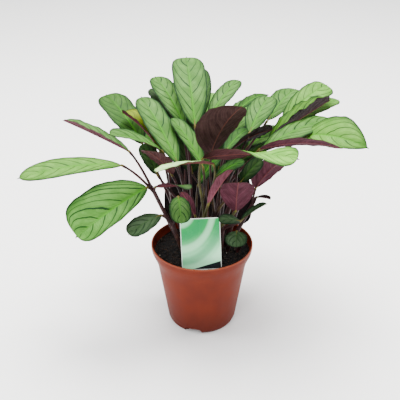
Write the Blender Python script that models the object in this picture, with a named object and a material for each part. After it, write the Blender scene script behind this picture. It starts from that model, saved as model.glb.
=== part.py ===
# Potted ctenanthe: a plastic nursery pot of peat, a plant label and a clump of leafy stems.
# Lengths in this file are millimetres and angles are degrees; each mesh is scaled to metres
# as it is made. The origin is the centre of the pot's underside, +Z is up, and the side that
# carries the label faces -Y.

import math
from collections import namedtuple

import bmesh
import bpy
from mathutils import Matrix, Vector

MM = 0.001
GAP = 0.35              # clearance left between pieces that touch

# Pot
POT_HEIGHT = 106.0
RIM_RADIUS = 60.0       # outer radius at the lip
LIP_DEPTH = 6.5         # height of the upright band under the lip
COLLAR_DEPTH = 22.0     # height of the band and the flared collar under it
COLLAR_FLARE = 7.0      # how far the lip stands out from the collar's foot
FOOT_RADIUS = 39.8
FOOT_ROUND = 4.5        # rounding where the wall turns under
WALL = 1.3
FLOOR_TOP = 9.5
RECESS_HEIGHT = 7.7     # the floor stands this far off the table
RECESS_INNER = 15.0     # radius of the centre pad that rests on the table
RECESS_OUTER = 33.5     # inner radius of the foot ring
POT_SIDES = 30
NOTCH_COUNT = 4
NOTCH_WIDTH = 20.0
NOTCH_HEIGHT = 7.5
NOTCH_FIRST = -106.0    # plan angle of the notch that faces the label's side
DRAIN_COUNT = 4
DRAIN_RADIUS = 4.0
DRAIN_CIRCLE = 25.0

# Soil
SOIL_TOP = 96.5
SOIL_DOME = 3.0         # the peat is heaped this much higher round the stems

# Label
LABEL_WIDTH = 45.0
LABEL_HEIGHT = 61.6
LABEL_CORNER = 4.0
LABEL_THICK = 0.8
LABEL_FOOT = (0.0, -46.0, 98.0)    # middle of the card's lower edge
LABEL_LEAN = 12.0       # tilt back from upright
LABEL_SPIN = -2.4       # turn in its own plane
STAKE_WIDTH = 13.0
STAKE_LENGTH = 12.0
STAKE_POINT = 6.0

# Leaves
BLADE_THICK = 0.9
BLADE_WIDEST = 0.58     # share of the length at which a blade is widest
BASE_CURVE = 1.7        # how a blade swells from its stalk
BASE_ROUND = 0.6
TIP_ROUND = 0.42
BLADE_CAMBER = 0.16     # each half of a blade is arched across its width
TIP_WIDTH = 0.045       # width of the small drawn-out point, as a share of the widest
BLADE_STATIONS = (0.04, 0.16, 0.32, 0.5, 0.68, 0.84, 0.94, 1.0)
BLADE_COLUMNS = (-1.0, -0.5, 0.0, 0.5, 1.0)
STALK_STATIONS = (0.0, 0.34, 0.64, 0.92)
STALK_SIDES = 5         # half as many as the points round a blade
STALK_RADIUS = 1.35
STALK_FOOT_RADIUS = 1.9
JOINT_RADIUS = 1.55     # the small swollen joint between stalk and blade
STALK_SINK = 9.0        # how far a stalk starts inside the sheath it grows from
SHEATH_SIDES = 7
SHEATH_DEPTH = 26.0     # how far a stem reaches into the peat

Leaf = namedtuple(
    "Leaf",
    "joint heading pitch length width roll arch fold blunt sweep twist uneven tip",
    defaults=(40, 0, 6, 12, 3.0, 0, 0, 0, TIP_ROUND),
)
Stem = namedtuple("Stem", "name root top radius leaves", defaults=((),))

# Each leaf: where its stalk meets the blade, the way the blade points in plan and above level,
# its length and width, then its roll about its own line, the rise of its arch, the lift of its
# two halves, the bluntness of its tip, its sideways bow, its twist, the extra share of width that
# its left half has over the mean, and the power that closes its tip: the higher, the more pointed.
STEMS = [
    # The branching stem on the left, and the two low leaves in front of it.
    Stem("stem_left_branch", (-24, -2), (-56, -12, 185), 2.3, [
        Leaf((-90, -5, 210), 202, 3, 113, 34, roll=-8, arch=7, blunt=2.6, twist=-6, tip=0.55),
        Leaf((-83, 15, 218), 159, 17, 84, 32, roll=21, fold=33, arch=1),
        Leaf((-61, -20, 190), 219, -17, 97, 52, roll=-30, fold=14, blunt=5.5, uneven=-0.36),
        Leaf((-52, -17, 189), 345, 6, 42, 16, roll=-55, fold=10, arch=3, twist=70),
    ]),
    Stem("stem_left_low", (-22, -14), (-34, -24, 146), 2.6, [
        Leaf((-46, -35, 163), 219, -11, 44, 27, roll=-10, arch=3),
        Leaf((-26, -38, 188), 276, -16, 40, 24, arch=5, blunt=3.6),
    ]),
    # Left side, from the back towards the middle.
    Stem("stem_left_back", (-20, 16), (-36, 20, 150), 2.8, [
        Leaf((-69, 38, 216), 127, 26, 84, 38, roll=-5, blunt=5),
        Leaf((-48, 18, 217), 137, 26, 66, 38, roll=15, fold=43, arch=5),
        Leaf((-44, -14, 232), 206, 28, 66, 30, roll=-4, fold=22, arch=4),
    ]),
    Stem("stem_left_mid", (-10, 2), (-18, 2, 150), 3.0, [
        Leaf((-27, -12, 216), 121, 31, 96, 33, arch=5, blunt=3.4),
        Leaf((-51, 4, 194), 150, 60, 38, 24, roll=-20, fold=20, arch=3),
        Leaf((-34, -8, 200), 215, 50, 50, 34, roll=20, arch=4),
    ]),
    Stem("stem_mid", (-4, 8), (-5, 7, 118), 3.0, [
        Leaf((1, -10, 210), 130, 37, 68, 24, roll=5, arch=4, uneven=-0.2),
        Leaf((-8, -16, 152), 199, 65, 36, 12, roll=60, arch=2),
        Leaf((-4, 10, 178), 30, 50, 44, 20, roll=15, arch=3),
    ]),
    Stem("stem_mid_back", (-8, 20), (-12, 26, 150), 3.0, [
        Leaf((-20, 42, 236), 118, 25, 84, 31),
        Leaf((-25, 62, 228), 122, 22, 70, 30, arch=5),
    ]),
    Stem("stem_crown", (4, 22), (4, 28, 150), 3.0, [
        Leaf((-8, 28, 244), 97, 30, 100, 40, blunt=6),
        Leaf((8, 48, 244), 59, 20, 72, 25, arch=4),
        Leaf((-2, 62, 238), 92, 30, 76, 30, arch=4),
    ]),
    # The front, with the big dark underside and the edge-on blade.
    Stem("stem_front", (0, -8), (3, -14, 150), 3.0, [
        Leaf((1, -28, 230), 333, 12, 109, 42, roll=-48, blunt=2.6, twist=80),
        Leaf((12, -34, 226), 217, 10, 74, 34, roll=22, fold=14, arch=5),
        Leaf((7, -28, 173), 341, 60, 54, 18, roll=-40, fold=45, arch=2, blunt=1.6),
    ]),
    Stem("stem_front_low", (8, -20), (18, -24, 142), 2.6, [
        Leaf((38, -22, 161), 271, 60, 60, 38, arch=4),
    ]),
    # Right side.
    Stem("stem_right_mid", (12, -4), (14, -8, 150), 3.0, [
        Leaf((10, -8, 226), 312, 57, 82, 48, roll=-25, arch=4, blunt=2.5, sweep=-3, uneven=-0.3),
        Leaf((15, -20, 203), 11, 28, 36, 20, roll=10, arch=3),
        Leaf((42, -26, 199), 0, 52, 37, 18, roll=45, arch=3),
    ]),
    Stem("stem_right_branch", (30, -6), (60, -2, 163), 2.3, [
        Leaf((61, -4, 181), 323, 53, 56, 34, roll=-35, arch=4, uneven=-0.2),
        Leaf((63, 0, 167), 316, 13, 20, 9, fold=35, arch=1),
    ]),
    Stem("stem_right_low", (22, -18), (24, -19, 142), 2.2, [
        Leaf((43, -28, 151), 206, 16, 28, 16, roll=-20, arch=3),
        Leaf((44, -17, 145), 23, 25, 36, 12, fold=40, arch=2),
    ]),
    Stem("stem_right_small", (42, -9), (46, -12, 111), 1.9, [
        Leaf((40, -15, 130), 265, -12, 26, 26, arch=3),
    ]),
    Stem("stem_right_fan", (14, 10), (20, 10, 150), 3.0, [
        Leaf((25, 4, 221), 54, 14, 50, 22, arch=4),
        Leaf((53, 12, 242), 65, 19, 64, 32, arch=5, blunt=2.6),
        Leaf((30, -8, 229), 35, 10, 60, 34, roll=-50, arch=4),
    ]),
    Stem("stem_right_top", (20, 22), (36, 26, 150), 3.0, [
        Leaf((94.5, 60, 235.5), 38, 22, 75, 34, roll=15, blunt=6, uneven=-0.1),
        Leaf((77, 28, 227.5), 31, 19, 88, 43, roll=-17, fold=50, arch=2, sweep=-3, uneven=-0.08),
    ]),
    Stem("stem_right_reach", (28, 6), (40, 2, 150), 3.0, [
        Leaf((67, -4, 230), 25, 13, 88, 42, roll=-4, blunt=4, arch=5, uneven=-0.1),
        Leaf((63, -12, 233), 328, 15, 96, 28, roll=-38, arch=7, blunt=2.4),
        Leaf((112, 8, 238), 318, 9, 82, 42, roll=35, arch=12, blunt=1.6, uneven=0.3, tip=0.75),
        Leaf((44, 8, 209), 14, 22, 46, 22, arch=3),
    ]),
    Stem("stem_right_back", (12, 32), (22, 42, 150), 2.8, [
        Leaf((42, 62, 248), 45, 7, 50, 22, roll=-8, arch=4),
        Leaf((79, 80, 228), 54, 17, 66, 36, arch=5),
        Leaf((109, 73, 227), 29, 15, 66, 28, arch=4),
    ]),
    # The back, which the photograph doesn't show.
    Stem("stem_back_left", (-14, 34), (-20, 50, 150), 2.8, [
        Leaf((-38, 84, 200), 116, 8, 88, 40, arch=8),
        Leaf((-20, 62, 183), 100, -80, 102, 50, arch=6, blunt=6),
        Leaf((-40, 70, 190), 130, 0, 70, 36),
    ]),
    Stem("stem_back_mid", (0, 42), (4, 58, 150), 2.8, [
        Leaf((6, 88, 215), 85, 6, 90, 42, arch=8),
        Leaf((8, 70, 184), 90, -80, 102, 50, arch=6, blunt=6),
        Leaf((16, 80, 190), 70, -5, 82, 40, arch=8),
        Leaf((-12, 44, 176), 95, 62, 66, 46, arch=4),
    ]),
    Stem("stem_back_right", (20, 36), (28, 52, 150), 2.8, [
        Leaf((38, 78, 212), 66, 6, 88, 42, arch=8),
        Leaf((36, 62, 183), 80, -80, 102, 50, arch=6, blunt=6),
        Leaf((56, 66, 200), 45, 0, 72, 38),
        Leaf((48, 62, 158), 82, 62, 68, 44, arch=4),
        Leaf((20, 52, 172), 88, 62, 56, 34, arch=4),
    ]),
]

# Colours are plain Principled values.
TERRACOTTA = (0.42, 0.085, 0.035)
PEAT = (0.018, 0.011, 0.008)
LABEL_GREEN = (0.16, 0.58, 0.27)
LEAF_GREEN = (0.21, 0.42, 0.12)


def material(name, colour, roughness):
    made = bpy.data.materials.new(name)
    made.use_nodes = True
    shader = made.node_tree.nodes["Principled BSDF"]
    shader.inputs["Base Color"].default_value = (*colour, 1.0)
    shader.inputs["Roughness"].default_value = roughness
    shader.inputs["Metallic"].default_value = 0.0
    return made


def clear_scene():
    for obj in list(bpy.data.objects):
        bpy.data.objects.remove(obj, do_unlink=True)


def add_object(name, points, faces, finish=None):
    """A mesh object from points in millimetres, with its faces turned outwards."""
    mesh = bpy.data.meshes.new(name)
    mesh.from_pydata([Vector(p) * MM for p in points], [], faces)
    shell = bmesh.new()
    shell.from_mesh(mesh)
    bmesh.ops.recalc_face_normals(shell, faces=shell.faces)
    shell.to_mesh(mesh)
    shell.free()
    if finish:
        mesh.materials.append(finish)
    obj = bpy.data.objects.new(name, mesh)
    bpy.context.scene.collection.objects.link(obj)
    return obj


def smooth(obj, sharp_angle=40.0):
    obj.data.shade_smooth()
    obj.data.set_sharp_from_angle(angle=math.radians(sharp_angle))


def hide(cutter):
    cutter.hide_render = True
    cutter.display_type = "WIRE"
    return cutter


def cut(obj, cutters):
    for cutter in cutters:
        modifier = obj.modifiers.new(cutter.name, "BOOLEAN")
        modifier.operation = "DIFFERENCE"
        modifier.solver = "EXACT"
        modifier.object = hide(cutter)


def fuse(name, solids, finish):
    """Joins closed solids that overlap into one mesh object."""
    first, rest = solids[0], solids[1:]
    if rest:
        others = bpy.data.collections.new(name + "_parts")
        bpy.context.scene.collection.children.link(others)
        for solid in rest:
            others.objects.link(solid)
            bpy.context.scene.collection.objects.unlink(solid)
        union = first.modifiers.new("join", "BOOLEAN")
        union.operation = "UNION"
        union.operand_type = "COLLECTION"
        union.collection = others
        union.solver = "EXACT"
        bpy.context.view_layer.update()
        graph = bpy.context.evaluated_depsgraph_get()
        joined = bpy.data.meshes.new_from_object(first.evaluated_get(graph))
        first.modifiers.clear()
        first.data = joined
        for solid in rest:
            bpy.data.objects.remove(solid, do_unlink=True)
        bpy.data.collections.remove(others)
    first.name = name
    first.data.materials.clear()
    first.data.materials.append(finish)
    return first


def screw_profile(name, profile, finish, sides=POT_SIDES):
    """A turned solid: the profile runs down its outer side and back up its inner side."""
    count = len(profile)
    mesh = bpy.data.meshes.new(name)
    edges = [(i, i + 1) for i in range(count - 1)]
    if profile[0][0] > 0:
        edges.append((count - 1, 0))
    mesh.from_pydata([(r * MM, 0, z * MM) for r, z in profile], edges, [])
    mesh.materials.append(finish)
    obj = bpy.data.objects.new(name, mesh)
    bpy.context.scene.collection.objects.link(obj)
    screw = obj.modifiers.new("turn", "SCREW")
    screw.steps = screw.render_steps = sides
    screw.use_merge_vertices = True
    screw.merge_threshold = 0.00001
    screw.use_smooth_shade = True
    return obj


def prism(name, radius, low, high, sides, place):
    """A many-sided column along Z, moved to its place."""
    ring = [
        (radius * math.cos(2 * math.pi * i / sides), radius * math.sin(2 * math.pi * i / sides))
        for i in range(sides)
    ]
    points = [place @ Vector((x, y, low)) for x, y in ring]
    points += [place @ Vector((x, y, high)) for x, y in ring]
    faces = [tuple(range(sides)), tuple(range(2 * sides - 1, sides - 1, -1))]
    faces += [
        (i, (i + 1) % sides, sides + (i + 1) % sides, sides + i) for i in range(sides)
    ]
    return add_object(name, points, faces)


def block(name, size, place):
    """A box of that size round its own centre, moved to its place."""
    x, y, z = (side / 2 for side in size)
    corners = [
        (sx * x, sy * y, sz * z) for sz in (-1, 1) for sx, sy in ((-1, -1), (1, -1), (1, 1), (-1, 1))
    ]
    faces = [(3, 2, 1, 0), (4, 5, 6, 7), (0, 1, 5, 4), (1, 2, 6, 5), (2, 3, 7, 6), (3, 0, 4, 7)]
    return add_object(name, [place @ Vector(c) for c in corners], faces)


def wall_radius(z):
    """Outer radius of the pot's plain wall at a height: a straight taper under the collar."""
    top = RIM_RADIUS - COLLAR_FLARE
    return FOOT_RADIUS + (top - FOOT_RADIUS) * z / (POT_HEIGHT - COLLAR_DEPTH)


def inner_radius(z):
    """Radius of the pot's inside at a height, up through the collar."""
    collar = POT_HEIGHT - COLLAR_DEPTH
    if z <= collar:
        return wall_radius(z) - WALL
    share = min((z - collar) / (COLLAR_DEPTH - LIP_DEPTH), 1.0)
    low = wall_radius(collar) - WALL
    return low + (RIM_RADIUS - WALL - 0.4 - low) * share


def pot(finish):
    """The nursery pot: flared collar, tapered wall, notched foot ring and drained floor."""
    collar = POT_HEIGHT - COLLAR_DEPTH
    band = POT_HEIGHT - LIP_DEPTH
    profile = [
        (RIM_RADIUS - 0.5, POT_HEIGHT),
        (RIM_RADIUS, POT_HEIGHT - 0.7),
        (RIM_RADIUS - 0.3, band),
        (wall_radius(collar), collar),
        (wall_radius(FOOT_ROUND), FOOT_ROUND),
        (wall_radius(0) - 0.3 * FOOT_ROUND, 0.25 * FOOT_ROUND),
        (wall_radius(0) - 0.8 * FOOT_ROUND, 0),
        (RECESS_OUTER, 0),
        (RECESS_OUTER, RECESS_HEIGHT),
        (RECESS_INNER, RECESS_HEIGHT),
        (RECESS_INNER, 0),
        (0, 0),
        (0, FLOOR_TOP),
        (inner_radius(FLOOR_TOP), FLOOR_TOP),
        (inner_radius(collar), collar),
        (inner_radius(band), band),
        (inner_radius(POT_HEIGHT), POT_HEIGHT),
    ]
    # The screw starts on the axis, so the profile is turned round to open there.
    start = profile.index((0, FLOOR_TOP))
    ordered = profile[start:] + profile[:start]
    body = screw_profile("pot", ordered, finish)
    body.modifiers["turn"].use_normal_flip = False
    cutters = []
    for i in range(NOTCH_COUNT):
        turn = Matrix.Rotation(math.radians(NOTCH_FIRST + 360 * i / NOTCH_COUNT), 4, "Z")
        middle = (RECESS_OUTER + FOOT_RADIUS) / 2
        place = turn @ Matrix.Translation((middle, 0, 0))
        size = (FOOT_RADIUS - RECESS_OUTER + 8, NOTCH_WIDTH, 2 * NOTCH_HEIGHT)
        cutters.append(block(f"notch_cutter_{i}", size, place))
    for i in range(DRAIN_COUNT):
        turn = Matrix.Rotation(math.radians(NOTCH_FIRST + 45 + 360 * i / DRAIN_COUNT), 4, "Z")
        place = turn @ Matrix.Translation((DRAIN_CIRCLE, 0, 0))
        cutters.append(prism(f"drain_cutter_{i}", DRAIN_RADIUS, -2, FLOOR_TOP + 2, 8, place))
    cut(body, cutters)
    return body


def soil(finish, cutters):
    """The peat: it fills the pot, heaped a little round the stems, with a hole for each of them."""
    low = FLOOR_TOP + GAP
    edge = SOIL_TOP - 1.0
    collar = POT_HEIGHT - COLLAR_DEPTH
    profile = [
        (0, SOIL_TOP + SOIL_DOME),
        (22, SOIL_TOP + 0.8 * SOIL_DOME),
        (40, SOIL_TOP + 0.25 * SOIL_DOME),
        (inner_radius(edge) - GAP, edge),
        (inner_radius(collar) - GAP, collar),
        (inner_radius(low) - GAP - 0.1, low),
        (0, low),
    ]
    body = screw_profile("soil", profile, finish)
    cut(body, cutters)
    return body


def label_place():
    return (
        Matrix.Translation(LABEL_FOOT)
        @ Matrix.Rotation(math.radians(-LABEL_LEAN), 4, "X")
        @ Matrix.Rotation(math.radians(LABEL_SPIN), 4, "Y")
    )


def label(finish):
    """The plant label: a plastic card with round corners, drawn down to a pointed stake."""
    half, tall, thick = LABEL_WIDTH / 2, LABEL_HEIGHT, LABEL_THICK / 2
    corner_steps = 3
    outline = []
    for cx, cz, start in (
        (half - LABEL_CORNER, tall - LABEL_CORNER, 0),
        (-half + LABEL_CORNER, tall - LABEL_CORNER, 90),
        (-half + LABEL_CORNER, LABEL_CORNER, 180),
    ):
        for i in range(corner_steps + 1):
            angle = math.radians(start + 90 * i / corner_steps)
            outline.append((cx + LABEL_CORNER * math.cos(angle), cz + LABEL_CORNER * math.sin(angle)))
    outline += [
        (-STAKE_WIDTH / 2, 0),
        (-STAKE_WIDTH / 2, STAKE_POINT - STAKE_LENGTH),
        (0, -STAKE_LENGTH),
        (STAKE_WIDTH / 2, STAKE_POINT - STAKE_LENGTH),
        (STAKE_WIDTH / 2, 0),
    ]
    for i in range(corner_steps + 1):
        angle = math.radians(270 + 90 * i / corner_steps)
        outline.append((half - LABEL_CORNER + LABEL_CORNER * math.cos(angle),
                        LABEL_CORNER + LABEL_CORNER * math.sin(angle)))
    place = label_place()
    count = len(outline)
    points = [place @ Vector((x, -thick, z)) for x, z in outline]
    points += [place @ Vector((x, thick, z)) for x, z in outline]
    faces = [tuple(range(count)), tuple(range(2 * count - 1, count - 1, -1))]
    faces += [(i, (i + 1) % count, count + (i + 1) % count, count + i) for i in range(count)]
    return add_object("label", points, faces, finish)


def label_slot():
    """The slot that the label's stake stands in."""
    size = (STAKE_WIDTH + 2 * GAP + 0.2, LABEL_THICK + 2 * GAP, STAKE_LENGTH + 8)
    middle = Matrix.Translation((0, 0, -STAKE_LENGTH / 2 + 4 - GAP))
    return block("label_slot", size, label_place() @ middle)


def direction(heading, pitch):
    h, p = math.radians(heading), math.radians(pitch)
    return Vector((math.cos(p) * math.cos(h), math.cos(p) * math.sin(h), math.sin(p)))


def half_width(leaf, u):
    """Half the blade's width at a share u of its length."""
    if u < BLADE_WIDEST:
        share = (1 - ((BLADE_WIDEST - u) / BLADE_WIDEST) ** BASE_CURVE) ** BASE_ROUND
    else:
        past = (u - BLADE_WIDEST) / (1 - BLADE_WIDEST)
        share = (1 - past**leaf.blunt) ** leaf.tip
    return leaf.width / 2 * max(share, TIP_WIDTH)


def blade_frame(leaf, u):
    """Point on the midrib, and the blade's along, left and up directions there."""
    along = direction(leaf.heading, leaf.pitch)
    up = (Vector((0, 0, 1)) - along * along.z).normalized()
    turn = Matrix.Rotation(math.radians(leaf.roll), 3, along)
    up = turn @ up
    left = up.cross(along)
    bump, slope = 4 * u * (1 - u), 4 * (1 - 2 * u) / leaf.length
    point = Vector(leaf.joint) + along * leaf.length * u
    point += up * leaf.arch * bump + left * leaf.sweep * bump
    tangent = (along + up * leaf.arch * slope + left * leaf.sweep * slope).normalized()
    left = (left - tangent * left.dot(tangent)).normalized()
    left = Matrix.Rotation(math.radians(leaf.twist * u * u), 3, tangent) @ left
    return point, tangent, left, tangent.cross(left)


def blade_point(leaf, u, v):
    """Point on the upper face: u runs from stalk to tip, v from the right edge to the left."""
    point, _, left, up = blade_frame(leaf, u)
    half, fold = half_width(leaf, u), math.radians(leaf.fold)
    half *= 1 + leaf.uneven * (1 if v > 0 else -1)
    lift = half * (math.sin(fold) * abs(v) - BLADE_CAMBER * v * v)
    return point + left * half * v * math.cos(fold) + up * lift


def blade_ring(leaf, u):
    """Upper face from right to left, then the lower face back, at one station."""
    _, _, _, up = blade_frame(leaf, u)
    top = [blade_point(leaf, u, v) for v in BLADE_COLUMNS]
    return top + [point - up * BLADE_THICK for point in reversed(top)]


def bezier(ends, t):
    a, b, c, d = ends
    s = 1 - t
    point = a * s**3 + b * 3 * s * s * t + c * 3 * s * t * t + d * t**3
    slope = (b - a) * 3 * s * s + (c - b) * 6 * s * t + (d - c) * 3 * t * t
    return point, slope.normalized()


def stalk_path(leaf, stem):
    """The four control points of a leaf's stalk, from inside its sheath up to the blade."""
    root = Vector((*stem.root, SOIL_TOP))
    top = Vector(stem.top)
    rise = (top - root).normalized()
    start = top - rise * STALK_SINK
    end = Vector(leaf.joint)
    reach = (end - start).length
    straight = (end - start).normalized()
    leave = (rise + straight).normalized()
    arrive = (0.35 * direction(leaf.heading, leaf.pitch) + 0.65 * straight).normalized()
    return start, start + leave * reach * 0.33, end - arrive * reach * 0.33, end


def round_ring(point, left, up, radius, count):
    """Points round a stalk, from its right over the top, in the order of a blade's ring."""
    angles = [math.radians(180 - 360 * (i + 0.5) / count) for i in range(count)]
    return [point + (left * math.cos(a) + up * math.sin(a)) * radius for a in angles]


def stalk_rings(leaf, stem):
    """Rings from the sheath up to the joint, turned so that they meet the blade squarely."""
    path = stalk_path(leaf, stem)
    _, _, left, _ = blade_frame(leaf, 0)
    rings = []
    for t in reversed(STALK_STATIONS):
        point, tangent = bezier(path, t)
        left = (left - tangent * left.dot(tangent)).normalized()
        radius = STALK_FOOT_RADIUS + (STALK_RADIUS - STALK_FOOT_RADIUS) * t
        rings.append(round_ring(point, left, tangent.cross(left), radius, STALK_SIDES))
    return rings[::-1]


def joint_ring(leaf, stem):
    """The ring at the joint itself, half way between the stalk's line and the blade's."""
    _, arrive = bezier(stalk_path(leaf, stem), 1.0)
    point, tangent, left, _ = blade_frame(leaf, 0)
    tangent = (tangent + arrive).normalized()
    left = (left - tangent * left.dot(tangent)).normalized()
    return round_ring(point, left, tangent.cross(left), JOINT_RADIUS, 2 * STALK_SIDES)


def skin(rings, first=0, mirror_from=None):
    """Triangles between rings of equal count, whose points start at index first. From
    mirror_from on round the ring, quads split the other way, so that a blade's two faces
    are divided alike."""
    count = len(rings[0])
    faces = []
    for i in range(len(rings) - 1):
        for k in range(count):
            a, b = first + i * count + k, first + i * count + (k + 1) % count
            d, c = a + count, b + count
            if mirror_from is not None and k >= mirror_from:
                faces += [(a, b, d), (b, c, d)]
            else:
                faces += [(a, b, c), (a, c, d)]
    return faces


def leaf_solid(leaf, stem):
    """One closed skin: a five-sided stalk that doubles its points at the joint to meet the blade."""
    stalk = stalk_rings(leaf, stem)
    blade = [joint_ring(leaf, stem)] + [blade_ring(leaf, u) for u in BLADE_STATIONS]
    points = [point for ring in stalk + blade for point in ring]
    fork = STALK_SIDES * len(stalk)
    last, wide = fork - STALK_SIDES, 2 * STALK_SIDES
    faces = [tuple(range(STALK_SIDES)), tuple(len(points) - 1 - i for i in range(wide))]
    faces += skin(stalk)
    for k in range(STALK_SIDES):
        here, following = last + k, last + (k + 1) % STALK_SIDES
        near, far, beyond = fork + 2 * k, fork + 2 * k + 1, fork + (2 * k + 2) % wide
        faces += [(here, near, far), (here, far, beyond), (here, beyond, following)]
    faces += skin(blade, fork, mirror_from=len(BLADE_COLUMNS))
    return add_object("leaf", points, faces)


def sheath_solid(stem):
    """The stem's own stalk from the peat up to where the leaf stalks part."""
    root, top = Vector((*stem.root, SOIL_TOP)), Vector(stem.top)
    rise = (top - root).normalized()
    rings = []
    for point, share in (
        (Vector((*stem.root, SOIL_TOP - SHEATH_DEPTH)), 1.0),
        (Vector((*stem.root, SOIL_TOP + SOIL_DOME + 1)), 1.0),
        (top - rise * 2, 1.05),
        (top + rise * 2, 0.6),
    ):
        angles = [2 * math.pi * i / SHEATH_SIDES for i in range(SHEATH_SIDES)]
        rings.append([
            point + Vector((math.cos(a), math.sin(a), 0)) * stem.radius * share for a in angles
        ])
    points = [point for ring in rings for point in ring]
    ends = [tuple(range(SHEATH_SIDES)), tuple(len(points) - 1 - i for i in range(SHEATH_SIDES))]
    return add_object("sheath", points, ends + skin(rings))


def stem_hole(stem):
    """The plain hole in the peat that a stem stands in."""
    radius = stem.radius + GAP + 0.15
    low, high = SOIL_TOP - SHEATH_DEPTH - GAP, POT_HEIGHT
    return prism(stem.name + "_hole", radius, low, high, SHEATH_SIDES, Matrix.Translation((*stem.root, 0)))


def leafy_stem(stem, finish):
    solids = [sheath_solid(stem)] + [leaf_solid(leaf, stem) for leaf in stem.leaves]
    obj = fuse(stem.name, solids, finish)
    smooth(obj, 50)
    return obj


def main():
    clear_scene()
    leaf_finish = material("leaf", LEAF_GREEN, 0.45)
    pot(material("pot", TERRACOTTA, 0.5))
    soil(material("soil", PEAT, 0.95), [stem_hole(stem) for stem in STEMS] + [label_slot()])
    label(material("label", LABEL_GREEN, 0.3))
    for stem in STEMS:
        leafy_stem(stem, leaf_finish)


main()
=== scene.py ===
# Potted ctenanthe, a leafy house plant in a 12 cm plastic nursery pot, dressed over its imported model.
# The pieces follow in the order in which a grower puts them together: pot, peat, stems, leaves and
# label, then the floor, the light and the camera. Sizes are in millimetres unless a name says more.

import math

import bmesh
import bpy
from mathutils import Matrix, Vector, noise


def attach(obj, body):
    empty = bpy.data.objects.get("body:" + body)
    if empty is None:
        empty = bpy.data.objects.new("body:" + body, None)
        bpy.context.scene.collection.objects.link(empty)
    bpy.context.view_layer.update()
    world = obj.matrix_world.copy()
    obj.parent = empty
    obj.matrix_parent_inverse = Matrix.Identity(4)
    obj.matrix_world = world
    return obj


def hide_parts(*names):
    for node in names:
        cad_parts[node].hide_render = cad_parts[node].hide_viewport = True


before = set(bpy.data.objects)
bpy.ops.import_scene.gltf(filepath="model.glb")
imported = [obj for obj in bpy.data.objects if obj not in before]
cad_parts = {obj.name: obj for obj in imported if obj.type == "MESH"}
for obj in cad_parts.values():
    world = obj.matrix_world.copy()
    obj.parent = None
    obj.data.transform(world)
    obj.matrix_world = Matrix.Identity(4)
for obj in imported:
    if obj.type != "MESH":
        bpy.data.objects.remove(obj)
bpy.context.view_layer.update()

# THE POT. Thin terracotta-coloured polypropylene, injection moulded in one shot: a tapered wall, a
# flared collar with a rounded lip, a raised floor with four drain holes and a foot ring with four
# notches. The mould leaves a fine satin skin, and handling leaves pale scratches near the lip.
MM = 0.001
POT_HEIGHT = 106.0
RIM_RADIUS = 60.0
LIP_DEPTH = 6.5
LIP_THICKER = 0.4
COLLAR_DEPTH = 22.0
COLLAR_FLARE = 7.0
FOOT_RADIUS = 39.8
FOOT_TURN = 4.5
FOOT_TUCK = 3.2
POT_WALL = 1.3
FLOOR_TOP = 9.5
RECESS_HEIGHT = 7.7
RECESS_INNER = 15.0
RECESS_OUTER = 33.5
POT_STEPS = 160
ROUNDING_STEPS = 5
NOTCH_COUNT = 4
NOTCH_WIDTH = 20.0
NOTCH_HEIGHT = 7.5
NOTCH_ROUNDING = 3.0
NOTCH_REACH = 8.0
NOTCH_FIRST = -106.0
DRAIN_RADIUS = 4.0
DRAIN_CIRCLE = 25.0


def srgb(red, green, blue):
    """A colour as a screen shows it, 0 to 255, turned into the linear light that shaders use."""
    values = [value / 255 for value in (red, green, blue)]
    linear = [v / 12.92 if v <= 0.04045 else ((v + 0.055) / 1.055) ** 2.4 for v in values]
    return (*linear, 1.0)


def add(tree, kind, inputs=None, **settings):
    """One node with its settings; inputs maps a socket's name or number to a value or a socket."""
    node = tree.nodes.new(kind)
    for name, value in settings.items():
        setattr(node, name, value)
    for name, value in (inputs or {}).items():
        if isinstance(value, bpy.types.NodeSocket):
            tree.links.new(value, node.inputs[name])
        else:
            node.inputs[name].default_value = value
    return node


def tree_of(*values):
    """The tree that the first socket among some values belongs to."""
    return next(value.id_data for value in values if isinstance(value, bpy.types.NodeSocket))


def calc(operation, *values):
    """A Math node's result."""
    inputs = dict(enumerate(values))
    return add(tree_of(*values), "ShaderNodeMath", inputs, operation=operation).outputs[0]


def plus(first, second):
    """The sum of two values or sockets; minus and times are like it."""
    return calc("ADD", first, second)


def minus(first, second):
    return calc("SUBTRACT", first, second)


def times(first, second):
    return calc("MULTIPLY", first, second)


def ramp(value, low, high, start=0.0, end=1.0):
    """value from low to high, eased and turned into start to end."""
    inputs = {0: value, 1: low, 2: high, 3: start, 4: end}
    return add(value.id_data, "ShaderNodeMapRange", inputs, interpolation_type="SMOOTHSTEP").outputs[0]


def blend(share, first, second, mode="MIX"):
    """Two colours mixed; share, first and second are values or sockets."""
    tree = tree_of(share, first, second)
    inputs = {0: share, 6: first, 7: second}
    return add(tree, "ShaderNodeMix", inputs, data_type="RGBA", blend_type=mode).outputs[2]


def speckle(vector, scale, detail=3.0, roughness=0.55, distortion=0.0):
    """A noise texture's value."""
    return add(vector.id_data, "ShaderNodeTexNoise", {
        "Vector": vector, "Scale": scale, "Detail": detail,
        "Roughness": roughness, "Distortion": distortion,
    }).outputs[0]


def stretch(vector, scale):
    """A place scaled along each axis: the larger the scale, the finer a texture lies along it."""
    return add(vector.id_data, "ShaderNodeMapping", {"Vector": vector, "Scale": scale}).outputs[0]


def joined(x, y, z=0.0):
    """A vector made of three numbers."""
    return add(tree_of(x, y, z), "ShaderNodeCombineXYZ", {0: x, 1: y, 2: z}).outputs[0]


def parts(vector):
    """A vector's three numbers."""
    return add(vector.id_data, "ShaderNodeSeparateXYZ", {0: vector}).outputs


def object_place(tree):
    """Where a point lies on its own object, in metres."""
    return add(tree, "ShaderNodeTexCoord").outputs["Object"]


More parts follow.
